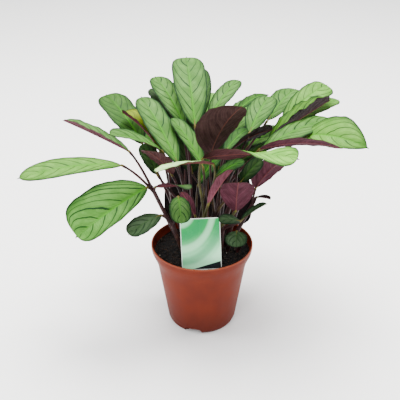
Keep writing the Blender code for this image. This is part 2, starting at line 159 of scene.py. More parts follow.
def new_material(name):
    """A node material, its tree and its Principled shader."""
    made = bpy.data.materials.new(name)
    made.use_nodes = True
    return made, made.node_tree, made.node_tree.nodes["Principled BSDF"]


def connect(shader, colour, roughness, bump=None, distance=0.0002, strength=0.3):
    """Gives a shader its colour, roughness and, where there is one, its bump; the distance in metres."""
    tree = shader.id_data
    tree.links.new(colour, shader.inputs["Base Color"])
    tree.links.new(roughness, shader.inputs["Roughness"])
    if bump is not None:
        inputs = {"Height": bump, "Distance": distance, "Strength": strength}
        tree.links.new(add(tree, "ShaderNodeBump", inputs).outputs[0], shader.inputs["Normal"])


def new_tree(name, sizes):
    """A Geometry Nodes tree with a geometry input and one named input for each size."""
    tree = bpy.data.node_groups.new(name, "GeometryNodeTree")
    tree.interface.new_socket("Geometry", in_out="INPUT", socket_type="NodeSocketGeometry")
    for size, kind in sizes.items():
        tree.interface.new_socket(size, in_out="INPUT", socket_type="NodeSocket" + kind)
    tree.interface.new_socket("Geometry", in_out="OUTPUT", socket_type="NodeSocketGeometry")
    start, end = tree.nodes.new("NodeGroupInput"), tree.nodes.new("NodeGroupOutput")
    return tree, start.outputs, end.inputs


def finish_tree(tree, result, geometry, finish):
    """Ends a tree in plain mesh with its material set."""
    real = add(tree, "GeometryNodeRealizeInstances", {0: geometry}).outputs[0]
    painted = add(tree, "GeometryNodeSetMaterial", {0: real, "Material": finish}).outputs[0]
    tree.links.new(painted, result[0])


def grow(obj, tree, values):
    """Runs a tree on an object and leaves the result as the object's plain mesh."""
    modifier = obj.modifiers.new("grow", "NODES")
    modifier.node_group = tree
    names = {item.name: item.identifier for item in tree.interface.items_tree if item.in_out == "INPUT"}
    for name, value in values.items():
        modifier[names[name]] = value
    graph = bpy.context.evaluated_depsgraph_get()
    made = bpy.data.meshes.new_from_object(obj.evaluated_get(graph), depsgraph=graph)
    obj.modifiers.clear()
    old, obj.data = obj.data, made
    made.name = obj.name
    bpy.data.meshes.remove(old)
    return obj


def new_object(name, points, edges, faces, finish=None):
    """An object whose points are given in millimetres."""
    mesh = bpy.data.meshes.new(name)
    mesh.from_pydata([Vector(point) * MM for point in points], edges, faces)
    if finish:
        mesh.materials.append(finish)
    obj = bpy.data.objects.new(name, mesh)
    bpy.context.scene.collection.objects.link(obj)
    return obj


def smooth(obj, sharp_angle):
    """Smooth shading, but for edges whose faces meet at more than an angle in degrees."""
    obj.data.shade_smooth()
    obj.data.set_sharp_from_angle(angle=math.radians(sharp_angle))
    return obj


def face_out(obj, merge=None):
    """Turns a closed mesh's faces outwards, after merging doubles where asked."""
    shell = bmesh.new()
    shell.from_mesh(obj.data)
    if merge:
        bmesh.ops.remove_doubles(shell, verts=shell.verts, dist=merge * MM)
    bmesh.ops.recalc_face_normals(shell, faces=shell.faces)
    shell.to_mesh(obj.data)
    shell.free()
    return obj


def softened(corners):
    """A closed outline whose corners (r, z, rounding) are drawn as short curves."""
    outline = []
    for i, (r, z, rounding) in enumerate(corners):
        here = Vector((r, z))
        before, after = Vector(corners[i - 1][:2]), Vector(corners[(i + 1) % len(corners)][:2])
        if not rounding:
            outline.append(here)
            continue
        reach = min(rounding, (before - here).length * 0.48, (after - here).length * 0.48)
        first = here + (before - here).normalized() * reach
        last = here + (after - here).normalized() * reach
        for k in range(ROUNDING_STEPS + 1):
            t = k / ROUNDING_STEPS
            outline.append(first * (1 - t) ** 2 + here * 2 * t * (1 - t) + last * t * t)
    return outline


def wall_radius(z):
    """Outer radius of the plain wall at a height: a straight taper under the collar."""
    top = RIM_RADIUS - COLLAR_FLARE
    return FOOT_RADIUS + (top - FOOT_RADIUS) * z / (POT_HEIGHT - COLLAR_DEPTH)


def inner_radius(z):
    """Radius of the pot's inside at a height, up through the collar."""
    collar = POT_HEIGHT - COLLAR_DEPTH
    if z <= collar:
        return wall_radius(z) - POT_WALL
    share = min((z - collar) / (COLLAR_DEPTH - LIP_DEPTH), 1.0)
    low = wall_radius(collar) - POT_WALL
    return low + (RIM_RADIUS - POT_WALL - LIP_THICKER - low) * share


def terracotta_plastic():
    """Satin brick-red plastic: mottled a little, dusty low down, with fine scuffs and pale scratches."""
    made, tree, shader = new_material("terracotta_polypropylene")
    place = object_place(tree)
    height = parts(place)[2]
    mottle = speckle(place, 38.0, 4.0)
    colour = blend(ramp(mottle, 0.3, 0.7), srgb(86, 25, 9), srgb(98, 32, 12))
    streaks = speckle(stretch(place, (220.0, 220.0, 9.0)), 1.0, 2.0)
    colour = blend(ramp(streaks, 0.52, 0.72, 0.0, 0.12), colour, srgb(104, 40, 26))
    # Dust and water marks gather low on the wall.
    low_dust = ramp(height, 0.0, 0.03, 0.5, 0.0)
    dust = times(low_dust, ramp(speckle(place, 160.0, 6.0, 0.7), 0.45, 0.75))
    colour = blend(times(dust, 0.5), colour, srgb(84, 42, 30))
    # Painted shade: the wall darkens towards its foot.
    colour = blend(ramp(height, 0.0, 0.06, 0.6, 0.0), colour, srgb(66, 18, 9))
    # Scratches: thin level lines, most of them in a band near the lip.
    lines = speckle(stretch(place, (26.0, 26.0, 900.0)), 1.0, 3.0, 0.6, 0.4)
    patches = ramp(speckle(place, 55.0, 2.0), 0.52, 0.66)
    near_lip = ramp(height, 0.078, 0.1, 0.12, 1.0)
    scratch = times(ramp(lines, 0.66, 0.74), patches)
    scratch = times(scratch, near_lip)
    colour = blend(times(scratch, 0.65), colour, srgb(190, 124, 98))
    # The top of the lip is paler.
    pale_lip_top = ramp(height, 0.1035, 0.1062, 0.0, 0.45)
    colour = blend(pale_lip_top, colour, srgb(160, 84, 58))
    grain = speckle(place, 1500.0, 2.0)
    rough = plus(ramp(mottle, 0.3, 0.7, 0.5, 0.6), times(scratch, 0.2))
    relief = minus(times(grain, 0.25), times(scratch, 0.6))
    connect(shader, colour, rough, relief, 0.00018, 0.35)
    shader.inputs["Specular IOR Level"].default_value = 0.12
    return made


def turned_shell():
    """A tree that turns a closed outline round the Z axis and cuts the notches and drain holes."""
    tree, size, result = new_tree("pot_turned", {
        "Steps": "Int", "Notch Width": "Float", "Notch Height": "Float", "Notch Circle": "Float",
        "Drain Radius": "Float", "Drain Circle": "Float", "Drain Length": "Float",
        "First Angle": "Float",
    })
    outline = add(tree, "GeometryNodeMeshToCurve", {0: size["Geometry"]}).outputs[0]
    circle = add(tree, "GeometryNodeCurvePrimitiveCircle", {"Resolution": size["Steps"], "Radius": 1.0})
    shell = add(tree, "GeometryNodeCurveToMesh", {0: circle.outputs[0], 1: outline}).outputs[0]
    shell = add(tree, "GeometryNodeMergeByDistance", {0: shell, "Distance": 0.00001}).outputs[0]

    def around(count, radius, cutter, turn):
        """Copies of a cutter on a circle, each turned to face outwards."""
        ring = add(tree, "GeometryNodeMeshCircle", {"Vertices": count, "Radius": radius}).outputs[0]
        spot = add(tree, "GeometryNodeInputPosition").outputs[0]
        facing = add(
            tree, "FunctionNodeAlignEulerToVector", {"Vector": spot}, axis="X", pivot_axis="Z",
        ).outputs[0]
        inputs = {0: ring, "Instance": cutter, "Rotation": facing}
        copies = add(tree, "GeometryNodeInstanceOnPoints", inputs).outputs[0]
        whole = add(tree, "GeometryNodeRealizeInstances", {0: copies}).outputs[0]
        spin = joined(0.0, 0.0, turn)
        return add(tree, "GeometryNodeTransform", {0: whole, "Rotation": spin}).outputs[0]

    # A notch is the upper half of a bar with rounded edges that is pushed in through the foot ring.
    section = add(tree, "GeometryNodeCurvePrimitiveQuadrilateral", {
        "Width": times(size["Notch Height"], 2.0), "Height": size["Notch Width"],
    }).outputs[0]
    section = add(tree, "GeometryNodeFilletCurve", {
        0: section, "Count": 8, "Radius": NOTCH_ROUNDING * MM,
    }, mode="POLY").outputs[0]
    inwards = add(tree, "GeometryNodeCurvePrimitiveLine", {
        "Start": (0.0, 0.0, -NOTCH_REACH * MM), "End": (0.0, 0.0, NOTCH_REACH * MM),
    }).outputs[0]
    bar = add(tree, "GeometryNodeCurveToMesh", {0: inwards, 1: section, "Fill Caps": True}).outputs[0]
    laid = {0: bar, "Rotation": (0.0, math.pi / 2, 0.0)}
    bar = add(tree, "GeometryNodeTransform", laid).outputs[0]
    notches = around(NOTCH_COUNT, size["Notch Circle"], bar, size["First Angle"])
    drain_sizes = {"Vertices": 32, "Radius": size["Drain Radius"], "Depth": size["Drain Length"]}
    drain = add(tree, "GeometryNodeMeshCylinder", drain_sizes).outputs[0]
    between = plus(size["First Angle"], math.pi / NOTCH_COUNT)
    drains = around(NOTCH_COUNT, size["Drain Circle"], drain, between)
    cutters = add(tree, "GeometryNodeJoinGeometry")
    tree.links.new(notches, cutters.inputs[0])
    tree.links.new(drains, cutters.inputs[0])
    carve = add(tree, "GeometryNodeMeshBoolean", operation="DIFFERENCE", solver="EXACT")
    tree.links.new(shell, carve.inputs[0])
    tree.links.new(cutters.outputs[0], carve.inputs[1])
    finish_tree(tree, result, carve.outputs[0], terracotta_plastic())
    return tree


collar_foot = POT_HEIGHT - COLLAR_DEPTH
band_foot = POT_HEIGHT - LIP_DEPTH
# Radius, height and rounding of each corner, from the lip down the outside and up the inside.
pot_outline = softened([
    (RIM_RADIUS, POT_HEIGHT, 0.8),
    (RIM_RADIUS - 0.3, band_foot, 3.0),
    (wall_radius(collar_foot), collar_foot, 7.0),
    (wall_radius(FOOT_TURN), FOOT_TURN, 3.2),
    (FOOT_RADIUS - FOOT_TUCK, 0.0, 2.6),
    (RECESS_OUTER, 0.0, 0.6),
    (RECESS_OUTER, RECESS_HEIGHT, 0.8),
    (RECESS_INNER, RECESS_HEIGHT, 0.8),
    (RECESS_INNER, 0.0, 0.6),
    (0.0, 0.0, 0.0),
    (0.0, FLOOR_TOP, 0.0),
    (inner_radius(FLOOR_TOP), FLOOR_TOP, 3.0),
    (inner_radius(collar_foot), collar_foot, 7.0),
    (inner_radius(band_foot), band_foot, 3.0),
    (inner_radius(POT_HEIGHT), POT_HEIGHT, 0.6),
])
# The tree sweeps the outline round a circle of one metre's radius, on which its height points down.
outline_points = [(r - 1000.0, -z, 0.0) for r, z in pot_outline]
outline_edges = [(i, (i + 1) % len(pot_outline)) for i in range(len(pot_outline))]
pot = new_object("nursery_pot", outline_points, outline_edges, [])
grow(pot, turned_shell(), {
    "Steps": POT_STEPS,
    "Notch Width": NOTCH_WIDTH * MM,
    "Notch Height": NOTCH_HEIGHT * MM,
    "Notch Circle": (FOOT_RADIUS + 1.0) * MM,
    "Drain Radius": DRAIN_RADIUS * MM,
    "Drain Circle": DRAIN_CIRCLE * MM,
    "Drain Length": (2 * FLOOR_TOP + 4.0) * MM,
    "First Angle": math.radians(NOTCH_FIRST),
})
smooth(face_out(pot, 0.002), 35.0)
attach(pot, "root")
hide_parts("pot")

# THE PEAT. Dark moist peat fills the pot to a finger's breadth below the lip, heaped a little round the
# stems. Its top is loose: crumbs of all sizes, a few pale specks of perlite and short brown fibres.
SOIL_TOP = 96.5
SOIL_DOME = 3.0
SOIL_CLEAR = 0.6
# The loose top lies this much lower at the wall and heaps this much higher than the solid's.
SOIL_SETTLED = 1.0
SOIL_HEAPED = 0.6
HEAP_RADIUS = 52.0
# The height of the peat's lumps and how close together they lie, from coarse to fine.
PEAT_LUMPS = ((1.5, 0.11), (0.9, 0.3), (0.5, 0.8))
PEAT_RINGS = 52
PEAT_SPOKES = 150
CRUMB_SUBDIVISIONS = 2
LEVEL_ENOUGH = 0.3


def peat_height(x, y):
    """The heaped, lumpy top of the peat at a place in the pot."""
    away = min(math.hypot(x, y) / HEAP_RADIUS, 1.0)
    heap = SOIL_TOP - SOIL_SETTLED + (SOIL_DOME + SOIL_HEAPED) * (1 - away**1.8)
    place = Vector((x, y, 3.0))
    lumps = sum(high * noise.noise(place * close) for high, close in PEAT_LUMPS)
    return heap + lumps * (1 - 0.6 * away**6)


def peat_material(name, light, fleck):
    """Moist black peat; light is the colour of its drier clods, fleck that of its bits of bark."""
    made, tree, shader = new_material(name)
    place = object_place(tree)
    clods = ramp(speckle(place, 240.0, 5.0, 0.7), 0.35, 0.7)
    colour = blend(clods, srgb(6, 5, 5), light)
    tufts = ramp(speckle(stretch(place, (1.0, 2.6, 1.0)), 420.0, 3.0), 0.6, 0.74)
    colour = blend(times(tufts, 0.8), colour, fleck)
    rough = ramp(clods, 0.0, 1.0, 0.72, 0.98)
    relief = speckle(place, 900.0, 6.0, 0.75)
    connect(shader, colour, rough, relief, 0.0009, 0.8)
    shader.inputs["Specular IOR Level"].default_value = 0.2
    return made


peat_finish = peat_material("moist_peat", srgb(18, 15, 14), srgb(50, 38, 29))
crumb_finish = peat_material("peat_crumb", srgb(38, 30, 24), srgb(112, 84, 60))
low_z = FLOOR_TOP + SOIL_CLEAR
spokes = [2 * math.pi * spoke / PEAT_SPOKES for spoke in range(PEAT_SPOKES)]
peat_points = [(0.0, 0.0, peat_height(0.0, 0.0))]
for ring in range(1, PEAT_RINGS + 1):
    radius = (inner_radius(SOIL_TOP - SOIL_SETTLED) - SOIL_CLEAR) * (ring / PEAT_RINGS) ** 0.9
    for angle in spokes:
        x, y = radius * math.cos(angle), radius * math.sin(angle)
        peat_points.append((x, y, peat_height(x, y)))
top_edge = len(peat_points) - PEAT_SPOKES
for z in (collar_foot, low_z):
    radius = inner_radius(z) - SOIL_CLEAR
    peat_points += [(radius * math.cos(angle), radius * math.sin(angle), z) for angle in spokes]
peat_points.append((0.0, 0.0, low_z))
peat_faces = []
for spoke in range(PEAT_SPOKES):
    following = (spoke + 1) % PEAT_SPOKES
    peat_faces.append((0, 1 + spoke, 1 + following))
    for ring in range(PEAT_RINGS + 1):
        inner = 1 + ring * PEAT_SPOKES
        outer = inner + PEAT_SPOKES
        peat_faces.append((inner + spoke, outer + spoke, outer + following, inner + following))
    bottom = top_edge + 2 * PEAT_SPOKES
    peat_faces.append((len(peat_points) - 1, bottom + following, bottom + spoke))
peat = smooth(face_out(new_object("peat", peat_points, [], peat_faces, peat_finish)), 60.0)
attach(peat, "root")
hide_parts("soil")


def crumbs_tree(name, finish, stretched):
    """A tree that strews lumps or fibres over the upward faces of a surface."""
    tree, size, result = new_tree(name, {
        "Count a Square Metre": "Float", "Smallest": "Float", "Largest": "Float",
        "Roughening": "Float", "Tilt": "Float", "Seed": "Int",
    })
    upward = parts(add(tree, "GeometryNodeInputNormal").outputs[0])[2]
    facing_up = add(tree, "FunctionNodeCompare", {0: upward, 1: LEVEL_ENOUGH}, operation="GREATER_THAN")
    scatter = add(tree, "GeometryNodeDistributePointsOnFaces", {
        "Mesh": size["Geometry"], "Selection": facing_up.outputs[0],
        "Density": size["Count a Square Metre"], "Seed": size["Seed"],
    })
    ball = {"Radius": 1.0, "Subdivisions": CRUMB_SUBDIVISIONS}
    lump = add(tree, "GeometryNodeMeshIcoSphere", ball).outputs[0]
    lump = add(tree, "GeometryNodeTransform", {0: lump, "Scale": stretched}).outputs[0]

    def chance(kind, low, high, shift):
        """A random value of a kind for each copy."""
        seed = plus(size["Seed"], float(shift))
        node = add(tree, "FunctionNodeRandomValue", data_type=kind)
        wanted = {"Min": low, "Max": high, "Seed": seed}
        for socket in node.inputs:
            value = wanted.get(socket.name) if socket.enabled else None
            if isinstance(value, bpy.types.NodeSocket):
                tree.links.new(value, socket)
            elif value is not None:
                socket.default_value = value
        return next(socket for socket in node.outputs if socket.enabled)

    # A power of the random share makes small crumbs common and big ones rare.
    share = calc("POWER", chance("FLOAT", 0.0, 1.0, 1), 2.4)
    spread = minus(size["Largest"], size["Smallest"])
    scale = calc("MULTIPLY_ADD", share, spread, size["Smallest"])
    turn = chance("FLOAT_VECTOR", (-1.0, -1.0, -1.0), (1.0, 1.0, 1.0), 2)
    furthest = joined(size["Tilt"], size["Tilt"], math.pi)
    turn = add(tree, "ShaderNodeVectorMath", {0: turn, 1: furthest}, operation="MULTIPLY").outputs[0]
    copies = add(tree, "GeometryNodeInstanceOnPoints", {
        0: scatter.outputs[0], "Instance": lump, "Rotation": turn, "Scale": scale,
    }).outputs[0]
    whole = add(tree, "GeometryNodeRealizeInstances", {0: copies}).outputs[0]
    spot = add(tree, "GeometryNodeInputPosition").outputs[0]
    rocky = speckle(spot, 620.0, 1.0, 0.5)
    out = times(minus(rocky, 0.5), size["Roughening"])
    normal = add(tree, "GeometryNodeInputNormal").outputs[0]
    offset = add(tree, "ShaderNodeVectorMath", {0: normal, "Scale": out}, operation="SCALE").outputs[0]
    whole = add(tree, "GeometryNodeSetPosition", {0: whole, "Offset": offset}).outputs[0]
    finish_tree(tree, result, whole, finish)
    return tree


def bed(name):
    """A copy of the peat's top that crumbs are strewn over, clear of the pot's wall."""
    faces = [f for f in peat_faces if all(i < top_edge for i in f)]
    return new_object(name, peat_points, [], faces)


def perlite_material():
    """Off-white grit, soiled in patches."""
    made, tree, shader = new_material("perlite")
    place = object_place(tree)
    soil_marks = ramp(speckle(place, 700.0, 4.0), 0.45, 0.65)
    colour = blend(soil_marks, srgb(196, 184, 166), srgb(120, 98, 78))
    connect(shader, colour, ramp(soil_marks, 0.0, 1.0, 0.8, 0.95))
    return made


# Each kind's finish and stretch, how many lie on a square metre, its smallest and largest radius before
# the stretch, how rough and how tilted it is, and its seed.
CRUMBS = (
    ("peat_crumbs", crumb_finish, (1.0, 0.8, 0.7), 160000.0, 0.55, 2.8, 2.2, 3.14, 4),
    ("peat_fibres", crumb_finish, (3.4, 0.2, 0.2), 24000.0, 0.7, 1.7, 0.4, 0.35, 9),
    ("perlite_specks", perlite_material(), (1.0, 0.85, 0.8), 2600.0, 0.4, 1.1, 0.6, 3.14, 17),
)
for name, finish, stretched, count, smallest, largest, roughening, tilt, seed in CRUMBS:
    strewn = grow(bed(name), crumbs_tree(name + "_tree", finish, stretched), {
        "Count a Square Metre": count,
        "Smallest": smallest * MM,
        "Largest": largest * MM,
        "Roughening": roughening * MM,
        "Tilt": tilt,
        "Seed": seed,
    })
    smooth(strewn, 50.0)
    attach(strewn, "root")

# THE STEMS. Each stem is a sheath that rises from the peat, from which slender round stalks part, one to
# a leaf. A stalk ends in a small swollen joint under its blade. Stalks are dark purple-brown, green
# where they are young, with a fine lengthways grain.
STALK_SINK = 9.0
STALK_FOOT_RADIUS = 1.75
STALK_RADIUS = 1.2
JOINT_RADIUS = 1.5
JOINT_LENGTH = 7.0
STALK_TURN = 0.35
STALK_REACH = 0.33
STALK_POINTS = 26
STALK_SIDES = 14
# How far a stalk runs on under the midrib, and its radius there.
STALK_TAIL = ((1.5, 1.05), (4.0, 0.75), (8.0, 0.4))
SHEATH_SINK = 12.0
SHEATH_POINTS = 9
# The sheath's end: how far past its top, the share of its radius left there, and its place along.
SHEATH_END = ((-2.0, 1.0, -0.1), (1.5, 0.82, -0.05), (4.0, 0.4, 0.0))


def leaf(joint, heading, pitch, length, width, look, **more):
    """A leaf: where its stalk meets the blade, the way the blade points in plan and above level, its
    length and width, and its look; then its roll, arch, the lift of its halves, bluntness of its tip,
    sideways bow, twist, the extra share of width of its left half, how wavy its edge is, and the power
    that closes its tip."""
    row = dict(
        joint=Vector(joint), heading=heading, pitch=pitch, length=length, width=width, look=look,
        roll=0, arch=6, fold=12, blunt=3.0, sweep=0, twist=0, uneven=0, ruffle=1.0, tip=0.42,
    )
    row.update(more)
    return row


# Every stem: the node that it stands for, where it enters the peat, where its stalks part, its radius,
# how green its stalks are from 0 to 1, and its leaves.
STEMS = [
    ("stem_left_branch", (-24, -2), (-56, -12, 185), 2.3, 0.1, [
        leaf((-90, -5, 210), 202, 3, 113, 34, "pale", roll=-8, arch=7, blunt=2.6, twist=-6, tip=0.55,
             ruffle=0.3),
        leaf((-83, 15, 218), 159, 17, 84, 32, "silver", roll=21, fold=33, arch=1),
        leaf((-61, -20, 190), 219, -17, 97, 52, "bold", roll=-30, fold=14, blunt=5.5, uneven=-0.36),
        leaf((-52, -17, 189), 345, 6, 42, 16, "grey", roll=-55, fold=10, arch=3, twist=70),
    ]),
    ("stem_left_low", (-22, -14), (-34, -24, 146), 2.6, 0.3, [
        leaf((-46, -35, 163), 219, -11, 44, 27, "moss", roll=-10, arch=3),
        leaf((-26, -38, 188), 276, -16, 40, 24, "netted", arch=5, blunt=3.6),
    ]),
    ("stem_left_back", (-20, 16), (-36, 20, 150), 2.8, 0.1, [
        leaf((-69, 38, 216), 127, 26, 84, 38, "dull", roll=-5, blunt=5),
        leaf((-48, 18, 217), 137, 26, 66, 38, "olive", roll=15, fold=43, arch=5),
        leaf((-44, -14, 232), 206, 28, 66, 30, "silver", roll=-4, fold=22, arch=4),
    ]),
    ("stem_left_mid", (-10, 2), (-18, 2, 150), 3.0, 0.2, [
        leaf((-27, -12, 216), 121, 31, 96, 33, "silver", arch=5, blunt=3.4),
        leaf((-51, 4, 194), 150, 60, 38, 24, "dark_and_shaded", roll=-20, fold=20, arch=3),
        leaf((-34, -8, 200), 215, 50, 50, 34, "russet", roll=20, arch=4),
    ]),
    ("stem_mid", (-4, 8), (-5, 7, 118), 3.0, 0.4, [
        leaf((1, -10, 210), 130, 37, 68, 24, "silver", roll=5, arch=4, uneven=-0.2),
        leaf((-8, -16, 152), 199, 65, 36, 12, "sheath", roll=60, arch=2),
        leaf((-4, 10, 178), 30, 50, 44, 20, "fresh", roll=15, arch=3),
    ]),
    ("stem_mid_back", (-8, 20), (-12, 26, 150), 3.0, 0.2, [
        leaf((-20, 42, 236), 118, 25, 84, 31, "silver"),
        leaf((-25, 62, 228), 122, 22, 70, 30, "dark_and_shaded", arch=5),
    ]),
    ("stem_crown", (4, 22), (4, 28, 150), 3.0, 0.2, [
        leaf((-8, 28, 244), 97, 30, 100, 40, "silver", blunt=6),
        leaf((8, 48, 244), 59, 20, 72, 25, "silver", arch=4),
        leaf((-2, 62, 238), 92, 30, 76, 30, "dull", arch=4),
    ]),
    ("stem_front", (0, -8), (3, -14, 150), 3.0, 0.5, [
        leaf((1, -28, 230), 333, 12, 109, 42, "bronze", roll=-48, blunt=2.6, twist=80),
        leaf((12, -34, 226), 217, 10, 74, 34, "white_glare", roll=22, fold=14, arch=5),
        leaf((7, -28, 173), 341, 60, 54, 18, "rose", roll=-40, fold=45, arch=2, blunt=1.6),
    ]),
    ("stem_front_low", (8, -20), (18, -24, 142), 2.6, 0.5, [
        leaf((38, -22, 161), 271, 60, 60, 38, "plum", arch=4),
    ]),
    ("stem_right_mid", (12, -4), (14, -8, 150), 3.0, 0.35, [
        leaf((10, -8, 226), 312, 57, 82, 48, "maroon", roll=-25, arch=4, blunt=2.5, sweep=-3,
             uneven=-0.3),
        leaf((15, -20, 203), 11, 28, 36, 20, "fresh", roll=10, arch=3),
        leaf((42, -26, 199), 0, 52, 37, 18, "dark_and_shaded", roll=45, arch=3),
    ]),
    ("stem_right_branch", (30, -6), (60, -2, 163), 2.3, 0.0, [
        leaf((61, -4, 181), 323, 53, 56, 34, "plum", roll=-35, arch=4, uneven=-0.2),
        leaf((63, 0, 167), 316, 13, 20, 9, "bract", fold=35, arch=1, ruffle=0.2),
    ]),
    ("stem_right_low", (22, -18), (24, -19, 142), 2.2, 0.1, [
        leaf((43, -28, 151), 206, 16, 28, 16, "moss", roll=-20, arch=3),
        leaf((44, -17, 145), 23, 25, 36, 12, "moss", fold=40, arch=2),
    ]),
    ("stem_right_small", (42, -9), (46, -12, 111), 1.9, 0.1, [
        leaf((40, -15, 130), 265, -12, 26, 26, "moss", arch=3),
    ]),
    ("stem_right_fan", (14, 10), (20, 10, 150), 3.0, 0.3, [
        leaf((25, 4, 221), 54, 14, 50, 22, "fresh", arch=4),
        leaf((53, 12, 242), 65, 19, 64, 32, "silver", arch=5, blunt=2.6),
        leaf((30, -8, 229), 35, 10, 60, 34, "black", roll=-50, arch=4),
    ]),
    ("stem_right_top", (20, 22), (36, 26, 150), 3.0, 0.2, [
        leaf((94.5, 60, 235.5), 38, 22, 75, 34, "pale", roll=15, blunt=6, uneven=-0.1),
        leaf((77, 28, 227.5), 31, 19, 88, 43, "black", roll=-17, fold=50, arch=2, sweep=-3,
             uneven=-0.08, ruffle=2.0),
    ]),
    ("stem_right_reach", (28, 6), (40, 2, 150), 3.0, 0.2, [
        leaf((67, -4, 230), 25, 13, 88, 42, "silver", roll=-4, blunt=4, arch=5, uneven=-0.1),
        leaf((63, -12, 233), 328, 15, 96, 28, "plum", roll=-38, arch=7, blunt=2.4),
        leaf((112, 8, 238), 318, 9, 82, 42, "pale", roll=35, arch=12, blunt=1.6, uneven=0.3, tip=0.75),
        leaf((44, 8, 209), 14, 22, 46, 22, "dull", arch=3),
    ]),
    ("stem_right_back", (12, 32), (22, 42, 150), 2.8, 0.2, [
        leaf((42, 62, 248), 45, 7, 50, 22, "dull", roll=-8, arch=4),
        leaf((79, 80, 228), 54, 17, 66, 36, "silver", arch=5),
        leaf((109, 73, 227), 29, 15, 66, 28, "pale", arch=4),
    ]),
    ("stem_back_left", (-14, 34), (-20, 50, 150), 2.8, 0.2, [
        leaf((-38, 84, 200), 116, 8, 88, 40, "silver", arch=8),
        leaf((-20, 62, 183), 100, -80, 102, 50, "shade", arch=6, blunt=6),
        leaf((-40, 70, 190), 130, 0, 70, 36, "silver"),
    ]),
    ("stem_back_mid", (0, 42), (4, 58, 150), 2.8, 0.3, [
        leaf((6, 88, 215), 85, 6, 90, 42, "pale", arch=8),
        leaf((8, 70, 184), 90, -80, 102, 50, "shade", arch=6, blunt=6),
        leaf((16, 80, 190), 70, -5, 82, 40, "silver", arch=8),
        leaf((-12, 44, 176), 95, 62, 66, 46, "dark_and_shaded", arch=4),
    ]),
    ("stem_back_right", (20, 36), (28, 52, 150), 2.8, 0.2, [
        leaf((38, 78, 212), 66, 6, 88, 42, "silver", arch=8),
        leaf((36, 62, 183), 80, -80, 102, 50, "shade", arch=6, blunt=6),
        leaf((56, 66, 200), 45, 0, 72, 38, "silver"),
        leaf((48, 62, 158), 82, 62, 68, 44, "dark_and_shaded", arch=4),
        leaf((20, 52, 172), 88, 62, 56, 34, "dark_and_shaded", arch=4),
    ]),
]


def direction(heading, pitch):
    """The way that a heading in plan and a pitch above level point, both in degrees."""
    h, p = math.radians(heading), math.radians(pitch)
    return Vector((math.cos(p) * math.cos(h), math.cos(p) * math.sin(h), math.sin(p)))


def bezier(ends, t):
    """A place on a curve between the first and the last of four points."""
    a, b, c, d = ends
    s = 1 - t
    return a * s**3 + b * 3 * s * s * t + c * 3 * s * t * t + d * t**3


def stalk_line(row, root, top):
    """Points from inside the sheath up to the blade, each with its radius and share of the way."""
    root = Vector((*root, SOIL_TOP))
    top = Vector(top)
    rise = (top - root).normalized()
    start, end = top - rise * STALK_SINK, row["joint"]
    reach = (end - start).length
    straight = (end - start).normalized()
    leave = (rise + straight).normalized()
    arrive = STALK_TURN * direction(row["heading"], row["pitch"]) + (1 - STALK_TURN) * straight
    arrive.normalize()
    ends = (start, start + leave * reach * STALK_REACH, end - arrive * reach * STALK_REACH, end)
    line = []
    for i in range(STALK_POINTS + 1):
        t = (i / STALK_POINTS) ** 0.8
        radius = STALK_FOOT_RADIUS + (STALK_RADIUS - STALK_FOOT_RADIUS) * t
        from_joint = ((1 - t) * reach - JOINT_LENGTH * 0.5) / JOINT_LENGTH * 2
        radius += (JOINT_RADIUS - STALK_RADIUS) * math.exp(-from_joint**4)
        line.append((bezier(ends, t), radius, t))
    # A short tail under the midrib carries the joint into the blade.
    for way, radius in STALK_TAIL:
        under = blade_point(row, way / row["length"], 0.0) - Vector((0, 0, 0.35 + 0.2 * radius))
        line.append((under, radius, 1.0))
    return line


def sheath_line(root, top, radius):
    """The sheath from under the peat up to where its stalks part, a little swollen low down."""
    low = Vector((*root, SOIL_TOP - SHEATH_SINK))
    surface = Vector((*root, SOIL_TOP + SOIL_DOME + 1))
    top = Vector(top)
    line = [(low, radius * 1.04, -1.0), (surface, radius * 1.06, -0.9)]
    for i in range(1, SHEATH_POINTS):
        t = i / SHEATH_POINTS
        line.append((surface.lerp(top, t), radius * (1.06 - 0.05 * t), -0.9 + 0.8 * t))
    rise = (top - surface).normalized()
    for past, share, place in SHEATH_END:
        line.append((top + rise * past, radius * share, place))
    return line


def marked(tree, attribute):
    """A number that the mesh carries as an attribute."""
    return add(tree, "ShaderNodeAttribute", attribute_name=attribute).outputs["Fac"]


def stalk_material():
    """Purple-brown skin with a lengthways grain, olive where the stalk is young."""
    made, tree, shader = new_material("leaf_stalk")
    place = object_place(tree)
    along = marked(tree, "along")
    green = marked(tree, "green")
    patchy = speckle(place, 70.0, 3.0)
    grain = speckle(stretch(place, (1400.0, 1400.0, 60.0)), 1.0, 3.0)
    purple = blend(ramp(patchy, 0.35, 0.65), srgb(26, 13, 14), srgb(54, 26, 27))
    olive = blend(ramp(grain, 0.35, 0.7), srgb(58, 64, 26), srgb(86, 88, 36))
    young = plus(times(patchy, 0.6), green)
    colour = blend(ramp(young, 0.55, 1.05), purple, olive)
    # The swollen joint under a blade is paler and yellower.
    colour = blend(ramp(along, 0.93, 1.0, 0.0, 0.55), colour, srgb(104, 96, 36))
    rough = ramp(grain, 0.3, 0.7, 0.42, 0.56)
    connect(shader, colour, rough, grain, 0.0002, 0.5)
    shader.inputs["Specular IOR Level"].default_value = 0.15
    return made


def stalk_tree():
    """A tree that gives a set of lines a round skin; each line's radius is its thick attribute."""
    tree, size, result = new_tree("stalk_skin", {"Sides": "Int"})
    line = add(tree, "GeometryNodeMeshToCurve", {0: size["Geometry"]}).outputs[0]
    thick = add(tree, "GeometryNodeInputNamedAttribute", {"Name": "thick"}, data_type="FLOAT").outputs[0]
    circle = {"Resolution": size["Sides"], "Radius": 1.0}
    around = add(tree, "GeometryNodeCurvePrimitiveCircle", circle).outputs[0]
    inputs = {0: line, 1: around, "Scale": thick, "Fill Caps": True}
    skin = add(tree, "GeometryNodeCurveToMesh", inputs).outputs[0]
    finish_tree(tree, result, skin, stalk_material())
    return tree


